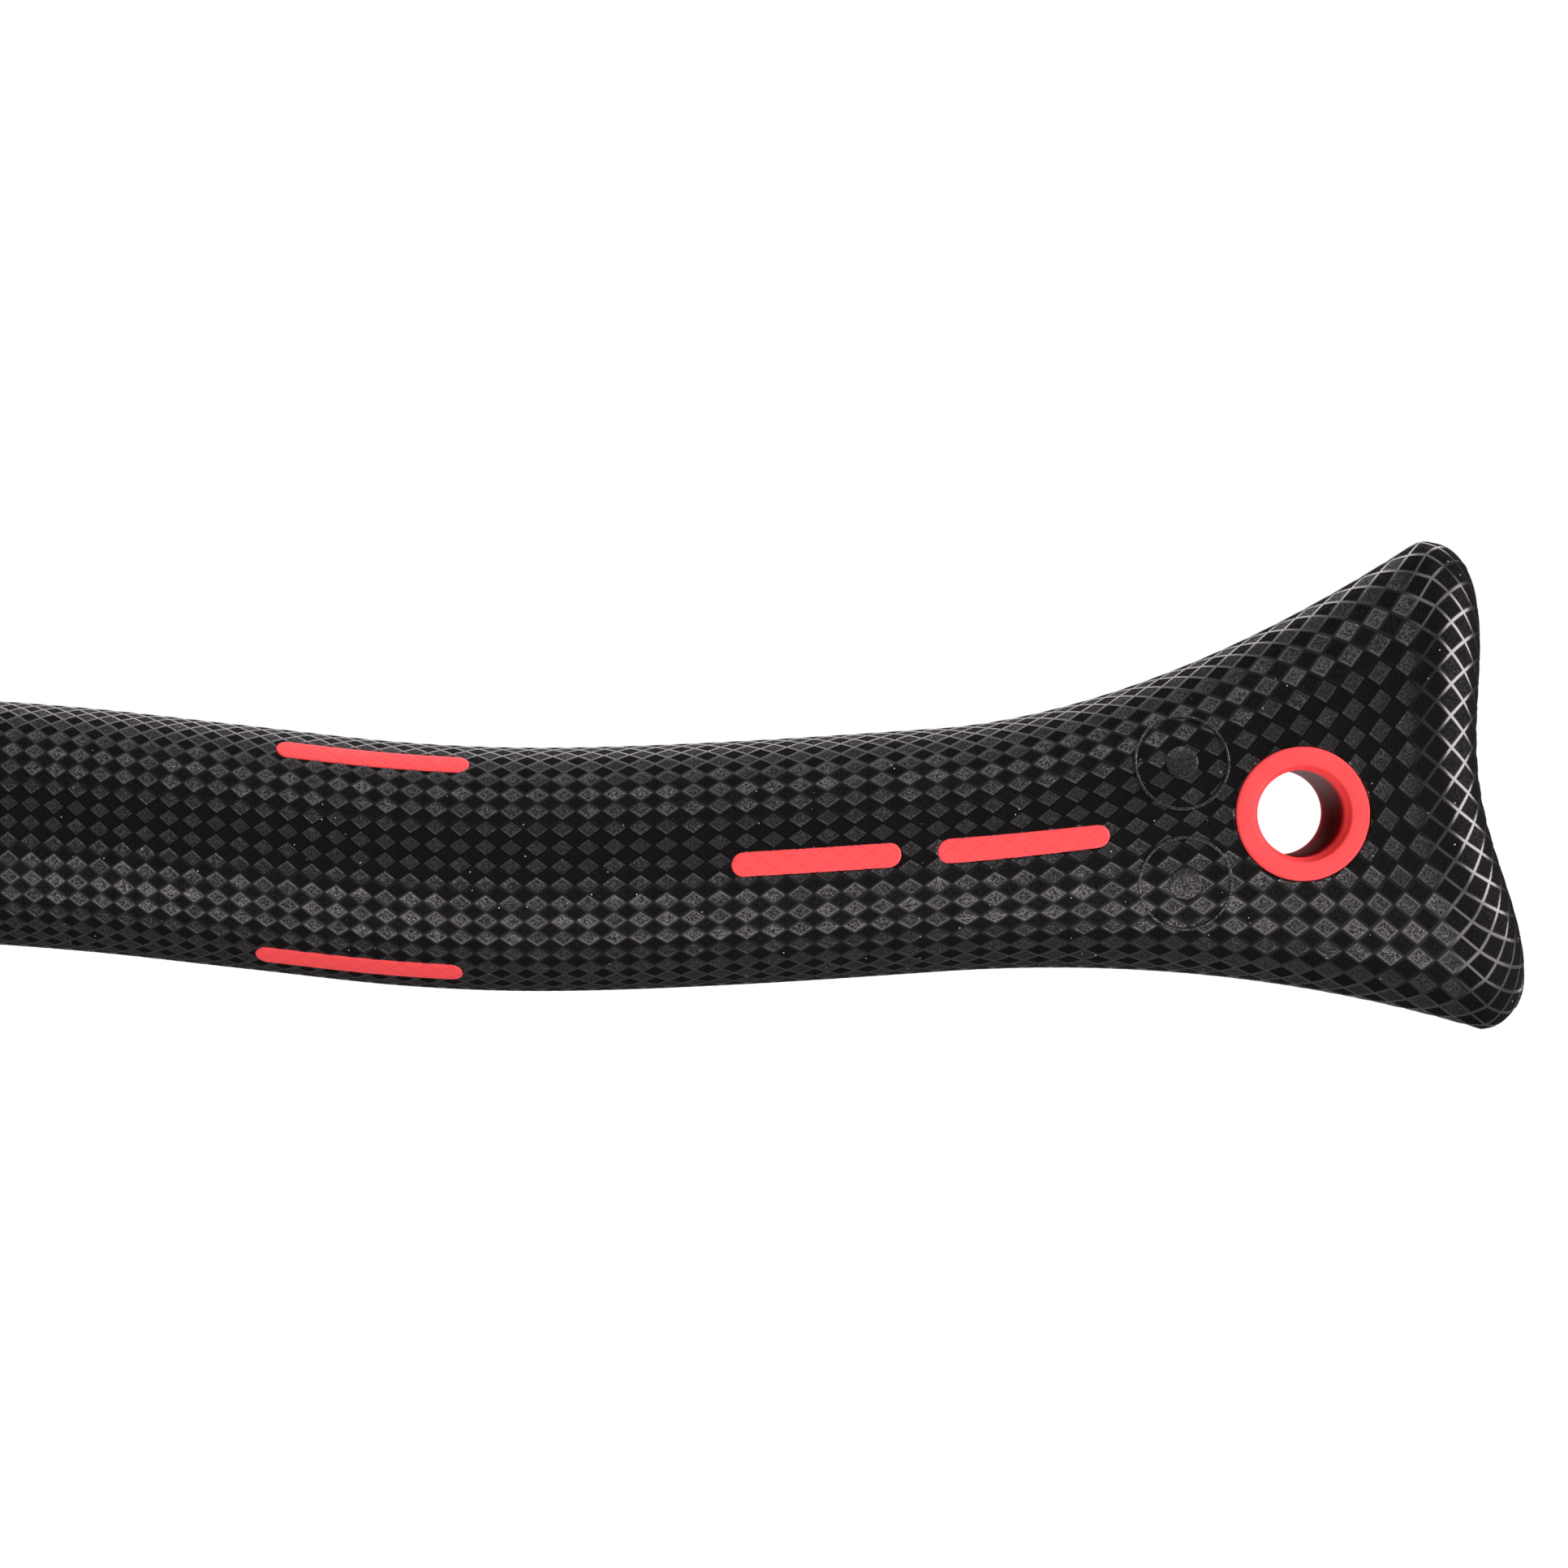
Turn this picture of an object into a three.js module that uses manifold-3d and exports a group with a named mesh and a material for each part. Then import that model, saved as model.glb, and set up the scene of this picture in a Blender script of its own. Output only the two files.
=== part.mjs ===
// A short technical ice axe: a bent aluminium shaft with a two-colour overmoulded grip and flared
// pommel at one end, and a head with a bolted steel pick and adze at the other.
//
// Millimetres. The origin is the middle of the grip. +X runs along the shaft to the pommel, +Z
// points to the pick's side and Y is the axe's thickness.

import * as THREE from 'three';
import { mergeVertices } from 'three/addons/utils/BufferGeometryUtils.js';
import Module from 'manifold-3d';

const wasm = await Module();
wasm.setup();

// ---------------------------------------------------------------- driving dimensions

const gap = 0.3; // clearance between pieces that fit together
const beyond = 10; // how far a cutting tool runs past what it cuts

// Shaft: an oval tube that follows the grip's curve, runs level, then bends to the head.
const tubeHeight = 25;
const tubeWidth = 18;
const tubeWall = 1.6;
const tubeFoot = 70; // where the tube ends inside the pommel
const tubeLevel = 85; // level stretch in front of the grip
const headBend = 15; // degrees
const bendRadius = 220;
const neckLength = 62; // straight stretch between the bend and the head
const plugLength = 12;

// Grip: a hard core on the tube under a soft skin.
const coreSideWall = 1.5;
const coreEdgeWall = 1.9;
const skinWall = 2.4;
const gripFront = -140;
const taperLength = 18; // where the skin narrows to the tube
const lipWall = 2.2; // the skin's thickness at its front edge
const coreFront = -120;
const gripCentre = [
  // The S-curve of the grip's centreline, as X and Z.
  [-140, 7.6],
  [-105, 6.9],
  [-82, 5.4],
  [-58, 2.8],
  [-35, 0.35],
  [-15, -0.4],
  [12, 0.5],
  [47, 2.75],
  [82, 5.1],
  [120, 7.8],
];

// Pommel: both edges flare away from the centreline, and the end face is hollowed.
const flareStart = 42;
const toeX = 110.6;
const toeFlare = 22.1;
const toePower = 1.8;
const heelX = 119.8;
const heelFlare = 13.7;
const heelPower = 2.1;
const pommelSwell = 0.9; // how much each side stands further out at the pommel
const endRound = 6.5;
const endHollow = 3.7;
const hollowStart = 0.6; // share of the flare's length where the hollow begins to be felt
const endSquareness = 0.4; // how much squarer than an ellipse the pommel's section is
const hollowReach = 0.95; // the hollow's half length as a share of the half height

// Lanyard eyelet, across the pommel.
const eyeletX = 92.3;
const eyeletZ = 7.7;
const eyeletBore = 12.3;
const eyeletWall = 1.7;
const eyeletFlange = 18.9;
const flangeThickness = 1.6;
const flangeProud = 0.2; // the flange's height above the pommel's side
const eyeletStep = 0.6; // the ledge inside each mouth of the bore

// Inlays: soft coloured bars set flush in the skin.
const inlayWidth = 3.5;
const inlayDepth = 1.3;
const edgeInlayHeight = 0.85; // share of the half height, for the bars near the grip's edges
const inlays = [
  { name: 'inlay_pommel', start: 41.0, end: 65.2, height: 0 },
  { name: 'inlay_middle', start: 12.0, end: 35.9, height: 0 },
  { name: 'inlay_upper', start: -52.9, end: -25.4, height: edgeInlayHeight },
  { name: 'inlay_lower', start: -55.8, end: -26.3, height: -edgeInlayHeight },
];

// Head: two cheeks on a tenon that is riveted into the tube.
const cheekWidth = 16; // over both cheeks
const cheekDepth = 33; // along the shaft
const cheekFront = 23; // towards the pick
const cheekRear = 19; // towards the adze
const collarLength = 7;
const tenonLength = 34;
const slotDepth = 29; // how deep the pick sits in the cheeks
const cheekCorner = 6;
const frontShoulder = 14; // from the collar to where the cheeks have their full reach
const rearShoulder = 12;
const shoulderCurve = 8; // from the collar to each shoulder curve's turning point
const rivetDiameter = 5;
const rivetHead = 8.4;
const rivetHeadHeight = 1.6;
const rivetPlaces = [10, 25]; // along the tenon

// Pick, a flat plate with its teeth on the pommel's side.
const pickThickness = 4;
const pickReach = 168; // from the shaft's axis to the tip
const pickDrop = 46; // how far the tip hangs from the back edge towards the pommel
const pickBase = 27; // the plate's depth in front of the cheeks
const pickTip = 7; // its depth at the tip
const pickStand = 4; // how far the back edge stands out of the cheeks
const pickRear = 20; // how far the plate runs behind the shaft's axis
const pickRearCorner = 8;
const pickBentFrom = 20; // the reach where the back edge starts to hang
const tipChamfer = 6;
const tipFlat = 9; // smooth stretch between the tip and the first tooth
const toothCount = 10;
const toothPitch = 8.6;
const toothDepth = 2.8;
const toothRake = 0.35; // each tooth's steep side, as a share of the pitch
const clipHole = 15;
const clipHoleReach = 43;

// Adze, a curved blade on two ears outside the cheeks.
const adzeThickness = 3;
const adzeEdgeWidth = 54;
const adzeLength = 62;
const adzeCrown = 2.5; // how far the cutting edge bows out in its middle
const adzeRadius = 95;
const earReach = 30; // from the shaft's axis to the blade's root
const earHeight = 22;
const earInset = 4; // from the cheeks' top to the ears
const earPastBolt = 8;
const earCorner = 6;
const bridgeMargin = 3; // how much shorter than the ears the bridge between them is
const bridgeOverlap = 0.5; // how far the bridge runs over the blade's root

// Head bolts.
const boltDiameter = 7;
const boltHead = 13;
const boltHeadHeight = 4.2;
const boltEnd = 1.5; // how far the shank stands out of its nut
const boltChamfer = 0.8;
const boltHeadChamfer = 1.2;
const socketKey = 5;
const socketDepth = 2.6;
const nutKey = 11;
const nutHeight = 5;
const washerDiameter = 14;
const washerThickness = 1.2;
const frontBoltReach = 12; // from the shaft's axis to the pick's side
const rearBoltReach = -11;

// ---------------------------------------------------------------- materials

function paint(color, roughness, metalness = 0) {
  return new THREE.MeshStandardMaterial({ color, roughness, metalness });
}

const blackRubber = paint(0x1b1a1b, 0.62);
const redRubber = paint(0xe8494c, 0.5);
const redPlastic = paint(0xe0393f, 0.4);
const corePlastic = paint(0x8e2227, 0.5);
const anodised = paint(0x3c3f44, 0.38, 0.9);
const forgedAlloy = paint(0x54585e, 0.42, 0.9);
const steel = paint(0xaeb2b6, 0.32, 1);
const darkSteel = paint(0x2f3134, 0.4, 1);

// ---------------------------------------------------------------- helpers

const degrees = THREE.MathUtils.degToRad;
const sum = (a, b) => a + b;

/** The closed body of a geometry, ready to be cut or joined. */
function solidOf(geometry) {
  const bare = geometry.clone();
  bare.deleteAttribute('normal');
  bare.deleteAttribute('uv');
  const merged = mergeVertices(bare, 1e-4);
  return new wasm.Manifold(
    new wasm.Mesh({
      numProp: 3,
      vertProperties: Float32Array.from(merged.attributes.position.array),
      triVerts: Uint32Array.from(merged.index.array),
    }),
  );
}

function geometryOf(solid) {
  const mesh = solid.getMesh();
  const geometry = new THREE.BufferGeometry();
  geometry.setAttribute('position', new THREE.Float32BufferAttribute(mesh.vertProperties, 3));
  geometry.setIndex([...mesh.triVerts]);
  return geometry;
}

function cut(geometry, ...tools) {
  return geometryOf(tools.reduce((left, tool) => left.subtract(solidOf(tool)), solidOf(geometry)));
}

function join(...geometries) {
  return geometryOf(geometries.map(solidOf).reduce((left, right) => left.add(right)));
}

function common(a, b) {
  return geometryOf(solidOf(a).intersect(solidOf(b)));
}

/** A closed skin over rings with equal counts of points, ending in a fan at each end's middle. */
function loft(rings) {
  const sides = rings[0].length;
  const middle = (ring) => ring.reduce((a, b) => a.clone().add(b)).divideScalar(sides);
  const points = [middle(rings[0]), ...rings.flat(), middle(rings.at(-1))];
  const index = [];
  for (let side = 0; side < sides; side += 1) {
    const next = (side + 1) % sides;
    index.push(0, 1 + next, 1 + side);
    for (let row = 0; row + 1 < rings.length; row += 1) {
      const near = 1 + row * sides;
      const far = near + sides;
      index.push(near + side, near + next, far + next);
      index.push(near + side, far + next, far + side);
    }
    const last = 1 + (rings.length - 1) * sides;
    index.push(last + side, last + next, points.length - 1);
  }
  const geometry = new THREE.BufferGeometry().setFromPoints(points);
  geometry.setIndex(index);
  return geometry;
}

/** A plate of an outline drawn in X and Z, centred on Y. */
function plate(shape, thickness, curveSegments = 12) {
  const geometry = new THREE.ExtrudeGeometry(shape, { depth: thickness, bevelEnabled: false, curveSegments });
  return geometry.translate(0, 0, -thickness / 2).rotateX(Math.PI / 2);
}

/** A round bar along Y through a point of the XZ plane. */
function crossBar(diameter, length, x, z, y = 0, sides = 20) {
  return new THREE.CylinderGeometry(diameter / 2, diameter / 2, length, sides).translate(x, y, z);
}

/** An oval bar along X from one place to another. */
function ovalBar(height, width, from, to, sides = 24) {
  const bar = new THREE.CylinderGeometry(1, 1, to - from, sides).rotateZ(-Math.PI / 2);
  return bar.scale(1, width / 2, height / 2).translate((from + to) / 2, 0, 0);
}

function roundedRectangle(left, right, low, high, radius) {
  const shape = new THREE.Shape();
  shape.moveTo(left + radius, low);
  shape.lineTo(right - radius, low);
  shape.absarc(right - radius, low + radius, radius, -Math.PI / 2, 0);
  shape.lineTo(right, high - radius);
  shape.absarc(right - radius, high - radius, radius, 0, Math.PI / 2);
  shape.lineTo(left + radius, high);
  shape.absarc(left + radius, high - radius, radius, Math.PI / 2, Math.PI);
  shape.lineTo(left, low + radius);
  shape.absarc(left + radius, low + radius, radius, Math.PI, Math.PI * 1.5);
  return shape;
}

/** The height at x of a smooth line through points, each an X and a Z. */
function heightAt(points, x) {
  const slope = (i) => {
    const before = points[Math.max(i - 1, 0)];
    const after = points[Math.min(i + 1, points.length - 1)];
    return (after[1] - before[1]) / (after[0] - before[0]);
  };
  const found = points.findIndex((point) => point[0] >= x);
  const i = Math.max(found < 0 ? points.length - 1 : found, 1);
  const [x0, z0] = points[i - 1];
  const [x1, z1] = points[i];
  const span = x1 - x0;
  const t = THREE.MathUtils.clamp((x - x0) / span, 0, 1);
  const ends = z0 * (1 + 2 * t) * (1 - t) ** 2 + z1 * t ** 2 * (3 - 2 * t);
  return ends + span * (slope(i - 1) * t * (1 - t) ** 2 - slope(i) * t ** 2 * (1 - t));
}

const ease = (from, to, x) => THREE.MathUtils.smoothstep(x, from, to);

// ---------------------------------------------------------------- grip surface

const gripHeight = tubeHeight + 2 * (coreEdgeWall + skinWall + 2 * gap);
const gripWidth = tubeWidth + 2 * (coreSideWall + skinWall + 2 * gap);
const gripEnd = (toeX + heelX) / 2;

function flare(x, endX, amount, power) {
  return amount * Math.max((x - flareStart) / (endX - flareStart), 0) ** power;
}

/** One section of the grip, from its lower to its upper edge line, with its half width. */
function sectionAt(station) {
  const pommel = Math.max((station - flareStart) / (gripEnd - flareStart), 0);
  const lean = ((heelX - toeX) / 2) * pommel;
  const full = ease(gripFront, gripFront + taperLength, station);
  const halfHeight = THREE.MathUtils.lerp(tubeHeight / 2 + lipWall, gripHeight / 2, full);
  const halfWidth = THREE.MathUtils.lerp(tubeWidth / 2 + lipWall, gripWidth / 2, full);
  const upperX = station - lean;
  const lowerX = station + lean;
  const upper = heightAt(gripCentre, upperX) + halfHeight + flare(upperX, toeX, toeFlare, toePower);
  const lower = heightAt(gripCentre, lowerX) - halfHeight - flare(lowerX, heelX, heelFlare, heelPower);
  const middle = new THREE.Vector3((upperX + lowerX) / 2, 0, (upper + lower) / 2);
  const half = new THREE.Vector3((upperX - lowerX) / 2, 0, (upper - lower) / 2);
  return {
    middle,
    half,
    width: halfWidth + pommelSwell * ease(0, 1, pommel),
    forward: new THREE.Vector3(half.z, 0, -half.x).normalize(),
    hollow: endHollow * ease(hollowStart, 1, pommel),
    square: 2 + endSquareness * ease(0, 1, pommel),
  };
}

/** How much of the end's hollow is felt at a height between -1, the heel, and 1, the toe. */
function hollowAt(height) {
  const off = height / hollowReach;
  return Math.abs(off) < 1 ? Math.cos((off * Math.PI) / 2) ** 2 : 0;
}

/** The point of a section at an angle around it, moved in by inset and shrunk towards its middle. */
function sectionPoint(section, angle, inset, advance = 0, shrink = 1) {
  const round = (value) => Math.sign(value) * Math.abs(value) ** (2 / section.square);
  const across = round(Math.cos(angle)) * shrink;
  const height = round(Math.sin(angle)) * shrink;
  const tall = section.half.length();
  return section.middle
    .clone()
    .addScaledVector(section.half, (height * (tall - inset)) / tall)
    .addScaledVector(section.forward, advance - section.hollow * hollowAt(height))
    .add(new THREE.Vector3(0, across * (section.width - inset), 0));
}

const roundingTurns = [25, 50, 72, 90]; // degrees, the rings over the end's rounding
const endFaceRings = [0.75, 0.45, 0.15]; // the end face's rings, as shares of its size

/** The grip's closed form, moved in by inset all over, from a station to the pommel's end face. */
function gripForm(inset, front, sides, spacing) {
  const steps = Math.ceil((gripEnd - front) / spacing);
  const stations = Array.from({ length: steps + 1 }, (_, i) => front + ((gripEnd - front) * i) / steps);
  const ring = (section, inward, advance, shrink) =>
    Array.from({ length: sides }, (_, k) =>
      sectionPoint(section, (2 * Math.PI * k) / sides, inward, advance, shrink),
    );
  const rings = stations.map((station) => ring(sectionAt(station), inset));
  const last = sectionAt(gripEnd);
  const radius = endRound - inset;
  for (const turn of roundingTurns) {
    const inward = inset + radius * (1 - Math.cos(degrees(turn)));
    rings.push(ring(last, inward, radius * Math.sin(degrees(turn))));
  }
  for (const shrink of endFaceRings) {
    rings.push(ring(last, inset + radius, radius, shrink));
  }
  return loft(rings);
}

// ---------------------------------------------------------------- shaft

const bend = degrees(headBend);
const bendStart = gripFront - tubeLevel;
const levelZ = gripCentre[0][1];
const bendEnd = new THREE.Vector3(
  bendStart - bendRadius * Math.sin(bend),
  0,
  levelZ + bendRadius * (1 - Math.cos(bend)),
);
const toHead = new THREE.Vector3(-Math.cos(bend), 0, Math.sin(bend));
const tubeTop = bendEnd.clone().addScaledVector(toHead, neckLength);

/** The tube's centreline from its foot in the pommel to its top at the head. */
function tubePath(beyondFoot = 0) {
  const points = [];
  const gripSteps = 16;
  const levelSteps = 4;
  const neckSteps = 5;
  for (let i = 0; i < gripSteps; i += 1) {
    const x = THREE.MathUtils.lerp(tubeFoot + beyondFoot, gripFront, i / gripSteps);
    points.push(new THREE.Vector3(x, 0, heightAt(gripCentre, x)));
  }
  for (let i = 0; i < levelSteps; i += 1) {
    points.push(new THREE.Vector3(gripFront - (tubeLevel * i) / levelSteps, 0, levelZ));
  }
  for (const share of [0, 0.5, 1]) {
    const x = bendStart - bendRadius * Math.sin(bend * share);
    points.push(new THREE.Vector3(x, 0, levelZ + bendRadius * (1 - Math.cos(bend * share))));
  }
  for (let i = 1; i <= neckSteps; i += 1) {
    points.push(bendEnd.clone().addScaledVector(toHead, (neckLength * i) / neckSteps));
  }
  return new THREE.CatmullRomCurve3(points);
}

/** An oval bar or tube along the shaft. Its section's first axis comes out along Y. */
function alongTube(height, width, bore, path) {
  const shape = new THREE.Shape().absellipse(0, 0, width / 2, height / 2, 0, Math.PI * 2);
  if (bore) {
    shape.holes.push(new THREE.Path().absellipse(0, 0, bore.width / 2, bore.height / 2, 0, Math.PI * 2));
  }
  return new THREE.ExtrudeGeometry(shape, { steps: 24, curveSegments: 8, extrudePath: path });
}

const tubeBore = { height: tubeHeight - 2 * tubeWall, width: tubeWidth - 2 * tubeWall };

function rivetHoles() {
  const holes = rivetPlaces.map((place) => crossBar(rivetDiameter + 2 * gap, 2 * tubeWidth, place, 0));
  return holes.map((hole) => hole.rotateY(bend).translate(tubeTop.x, 0, tubeTop.z));
}

function shaftTube() {
  return cut(alongTube(tubeHeight, tubeWidth, tubeBore, tubePath()), ...rivetHoles());
}

/** A plug that closes the tube's foot under the moulding. */
function shaftEndPlug() {
  const slope = Math.atan2(
    heightAt(gripCentre, tubeFoot) - heightAt(gripCentre, tubeFoot - plugLength),
    plugLength,
  );
  const bar = ovalBar(tubeBore.height - 2 * gap, tubeBore.width - 2 * gap, -plugLength, -gap, 20);
  return bar.rotateY(-slope).translate(tubeFoot, 0, heightAt(gripCentre, tubeFoot));
}

// ---------------------------------------------------------------- eyelet

/** Half the distance between the two flange faces. */
const eyeletFace = sectionAt(eyeletX).width + flangeProud;

/** A flanged bush with a small ledge inside each mouth. */
function eyeletBushing() {
  const bore = eyeletBore / 2;
  const flange = eyeletFlange / 2;
  const barrel = bore + eyeletWall;
  const under = eyeletFace - flangeThickness;
  const half = [
    [bore, eyeletFace - flangeThickness - eyeletStep],
    [bore + eyeletStep, eyeletFace - flangeThickness],
    [bore + eyeletStep, eyeletFace],
    [flange - eyeletStep, eyeletFace],
    [flange, eyeletFace - eyeletStep],
    [flange, under],
    [barrel, under],
  ];
  const profile = [...half, ...half.map(([r, y]) => [r, -y]).reverse(), half[0]];
  const points = profile.map(([r, y]) => new THREE.Vector2(r, y)).reverse();
  return new THREE.LatheGeometry(points, 24).translate(eyeletX, 0, eyeletZ);
}

function barrelHole() {
  return crossBar(eyeletBore + 2 * (eyeletWall + gap), 4 * gripWidth, eyeletX, eyeletZ, 0, 24);
}

/** The seat for one flange, open to the outside. */
function flangeSeat(side) {
  const floor = eyeletFace - flangeThickness - gap;
  return crossBar(eyeletFlange + 2 * gap, gripWidth, eyeletX, eyeletZ, side * (floor + gripWidth / 2), 24);
}

// ---------------------------------------------------------------- grip pieces

const outerForm = gripForm(0, gripFront, 24, 11);

/** A bar with round ends at an inlay's place, from below the surface to above it. */
function inlayBar(inlay, side, margin, depth) {
  const angle = Math.asin(inlay.height);
  const at = (station) => {
    const point = sectionPoint(sectionAt(station), angle, 0);
    return point.setY(point.y * side);
  };
  const start = at(inlay.start);
  const end = at(inlay.end);
  const along = end.clone().sub(start).normalize();
  const middle = at((inlay.start + inlay.end) / 2);
  const section = sectionAt((inlay.start + inlay.end) / 2);
  const out = new THREE.Vector3(0, (side * Math.cos(angle)) / section.width, Math.sin(angle) / section.half.z);
  const across = out.normalize().clone().cross(along).normalize();
  const up = along.clone().cross(across);
  const halfLength = start.distanceTo(end) / 2;
  const halfWidth = inlayWidth / 2;
  const nearlyRound = 0.01; // keeps the straight ends from shrinking to nothing
  const shape = roundedRectangle(
    -halfLength - margin,
    halfLength + margin,
    -halfWidth - margin,
    halfWidth + margin,
    halfWidth + margin - nearlyRound,
  );
  const bar = new THREE.ExtrudeGeometry(shape, { depth: depth + beyond, bevelEnabled: false, curveSegments: 3 });
  const place = new THREE.Matrix4().makeBasis(along, across, up).setPosition(middle);
  return bar.translate(0, 0, -depth).applyMatrix4(place);
}

const inlayPlaces = inlays.flatMap((inlay) => [
  { inlay, side: -1, name: `${inlay.name}_near` },
  { inlay, side: 1, name: `${inlay.name}_far` },
]);

function inlayPiece({ inlay, side }) {
  return common(outerForm, inlayBar(inlay, side, 0, inlayDepth));
}

function tubeClearance() {
  return alongTube(tubeHeight + 2 * gap, tubeWidth + 2 * gap, null, tubePath(gap));
}

function gripSkin() {
  const cavity = gripForm(skinWall, coreFront - gap, 16, 16);
  const pockets = inlayPlaces.map(({ inlay, side }) => inlayBar(inlay, side, gap, inlayDepth + gap));
  return cut(outerForm, cavity, tubeClearance(), barrelHole(), flangeSeat(-1), flangeSeat(1), ...pockets);
}

function gripCore() {
  return cut(gripForm(skinWall + gap, coreFront, 16, 16), tubeClearance(), barrelHole());
}

// ---------------------------------------------------------------- head, in its own frame
//
// The head's X axis is the shaft's own axis there, with 0 at the tube's top and the pommel in +X.
// Z points to the pick.

const headTop = -(collarLength + cheekDepth);
const slotFloor = headTop + slotDepth;
const boltX = headTop + slotDepth / 2 + 1;
const cheekFace = cheekWidth / 2;

function boltHoles(extra = gap) {
  return [frontBoltReach, rearBoltReach].map((z) =>
    crossBar(boltDiameter + 2 * extra, 4 * cheekWidth, boltX, z),
  );
}

/** The cheeks' outline, narrowing to the tube's collar. */
function cheekOutline() {
  const collarHalf = tubeHeight / 2;
  const turn = -collarLength - shoulderCurve;
  const shape = new THREE.Shape();
  shape.moveTo(-collarLength, -collarHalf);
  shape.quadraticCurveTo(turn, -collarHalf, -collarLength - rearShoulder, -cheekRear);
  shape.lineTo(headTop + cheekCorner, -cheekRear);
  shape.quadraticCurveTo(headTop, -cheekRear, headTop, -cheekRear + cheekCorner);
  shape.lineTo(headTop, cheekFront - cheekCorner);
  shape.quadraticCurveTo(headTop, cheekFront, headTop + cheekCorner, cheekFront);
  shape.lineTo(-collarLength - frontShoulder, cheekFront);
  shape.quadraticCurveTo(turn, collarHalf, -collarLength, collarHalf);
  return shape;
}

function headBody() {
  const merge = 1; // how far each of the body's blocks runs into the next
  const collar = ovalBar(tubeHeight, tubeWidth, -collarLength - merge, -gap);
  const tenon = ovalBar(tubeBore.height - 2 * gap, tubeBore.width - 2 * gap, -gap - merge, tenonLength, 24);
  const slotLength = slotDepth + beyond;
  const slot = new THREE.BoxGeometry(slotLength, pickThickness + 2 * gap, 3 * (cheekFront + cheekRear));
  slot.translate(slotFloor - slotLength / 2, 0, 0);
  const rivets = rivetPlaces.map((place) => crossBar(rivetDiameter + 2 * gap, 2 * tubeWidth, place, 0));
  return cut(join(plate(cheekOutline(), cheekWidth, 5), collar, tenon), slot, ...boltHoles(), ...rivets);
}

/** A point on the pick's back edge, by its reach from the shaft's axis. */
function pickBack(reach) {
  const share = Math.max((reach - pickBentFrom) / (pickReach - pickBentFrom), 0);
  return new THREE.Vector2(headTop - pickStand + pickDrop * share ** 1.7, reach);
}

/** The pick's depth under its back edge, tapering to the tip. */
function pickDepth(reach) {
  const share = THREE.MathUtils.clamp((reach - cheekFront) / (pickReach - cheekFront), 0, 1);
  return THREE.MathUtils.lerp(pickBase, pickTip, share ** 0.8);
}

/** The plate with its teeth raked towards the head, a clip hole and two bolt holes. */
function pickPlate() {
  const under = (reach, lift = 0) => {
    const back = pickBack(reach);
    return new THREE.Vector2(back.x + pickDepth(reach) - lift, reach);
  };
  const shape = new THREE.Shape();
  const seat = slotFloor - gap;
  shape.moveTo(seat, -pickRear);
  const backX = headTop - pickStand;
  shape.quadraticCurveTo(backX, -pickRear, backX, -pickRear + pickRearCorner);
  const backSteps = 9;
  for (let i = 0; i <= backSteps; i += 1) {
    const point = pickBack(THREE.MathUtils.lerp(pickBentFrom, pickReach - tipChamfer, i / backSteps));
    shape.lineTo(point.x, point.y);
  }
  const tip = under(pickReach);
  shape.lineTo(tip.x, tip.y);
  const firstTooth = pickReach - tipFlat;
  for (let i = 0; i < toothCount; i += 1) {
    const root = under(firstTooth - i * toothPitch, toothDepth);
    const crest = under(firstTooth - (i + toothRake) * toothPitch);
    shape.lineTo(root.x, root.y);
    shape.lineTo(crest.x, crest.y);
  }
  const teethEnd = firstTooth - toothCount * toothPitch;
  const throat = under(teethEnd, toothDepth);
  shape.lineTo(throat.x, throat.y);
  shape.quadraticCurveTo(throat.x, (teethEnd + cheekFront) / 2, seat, cheekFront);
  const back = pickBack(clipHoleReach);
  const hole = new THREE.Path();
  hole.absarc(back.x + pickDepth(clipHoleReach) / 2, back.y, clipHole / 2, 0, Math.PI * 2);
  shape.holes.push(hole);
  return cut(plate(shape, pickThickness), ...boltHoles());
}

/** The blade's outline, flat: from its root at 0 to its cutting edge. */
function bladeOutline() {
  const rootHalf = cheekFace + gap + adzeThickness;
  const edgeHalf = adzeEdgeWidth / 2;
  const waist = adzeLength * 0.35; // the flare's two turning points
  const shoulder = adzeLength * 0.5;
  const crown = adzeLength + 2 * adzeCrown;
  const shape = new THREE.Shape();
  shape.moveTo(0, -rootHalf);
  shape.bezierCurveTo(waist, -rootHalf, shoulder, -edgeHalf, adzeLength, -edgeHalf);
  shape.quadraticCurveTo(crown, 0, adzeLength, edgeHalf);
  shape.bezierCurveTo(shoulder, edgeHalf, waist, rootHalf, 0, rootHalf);
  return shape;
}

/** The blade, rolled about Y so that its cutting edge turns to the pommel. */
function adzeBlade() {
  const flat = new THREE.ExtrudeGeometry(bladeOutline(), {
    depth: adzeThickness,
    bevelEnabled: false,
    curveSegments: 10,
  });
  const strips = 6;
  const stripped = Array.from({ length: strips }, (_, i) => {
    const length = (adzeLength + 2 * adzeCrown) / strips;
    const box = new THREE.BoxGeometry(length, adzeEdgeWidth + beyond, adzeThickness * 3);
    return common(flat, box.translate(length * (i + 0.5), 0, 0));
  });
  const blade = join(...stripped);
  const place = blade.attributes.position;
  for (let i = 0; i < place.count; i += 1) {
    const turn = place.getX(i) / adzeRadius;
    const radius = adzeRadius - place.getZ(i);
    const x = headTop + earHeight / 2 + adzeRadius - radius * Math.cos(turn);
    place.setXYZ(i, x, place.getY(i), -earReach - radius * Math.sin(turn));
  }
  return blade;
}

/** One ear of the adze, outside a cheek, with its bolt hole cut later. */
function adzeEar(side) {
  const low = headTop + earInset;
  const back = -earReach - adzeThickness;
  const outline = roundedRectangle(low, low + earHeight, back, rearBoltReach + earPastBolt, earCorner);
  return plate(outline, adzeThickness, 4).translate(0, side * (cheekFace + gap + adzeThickness / 2), 0);
}

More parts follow.
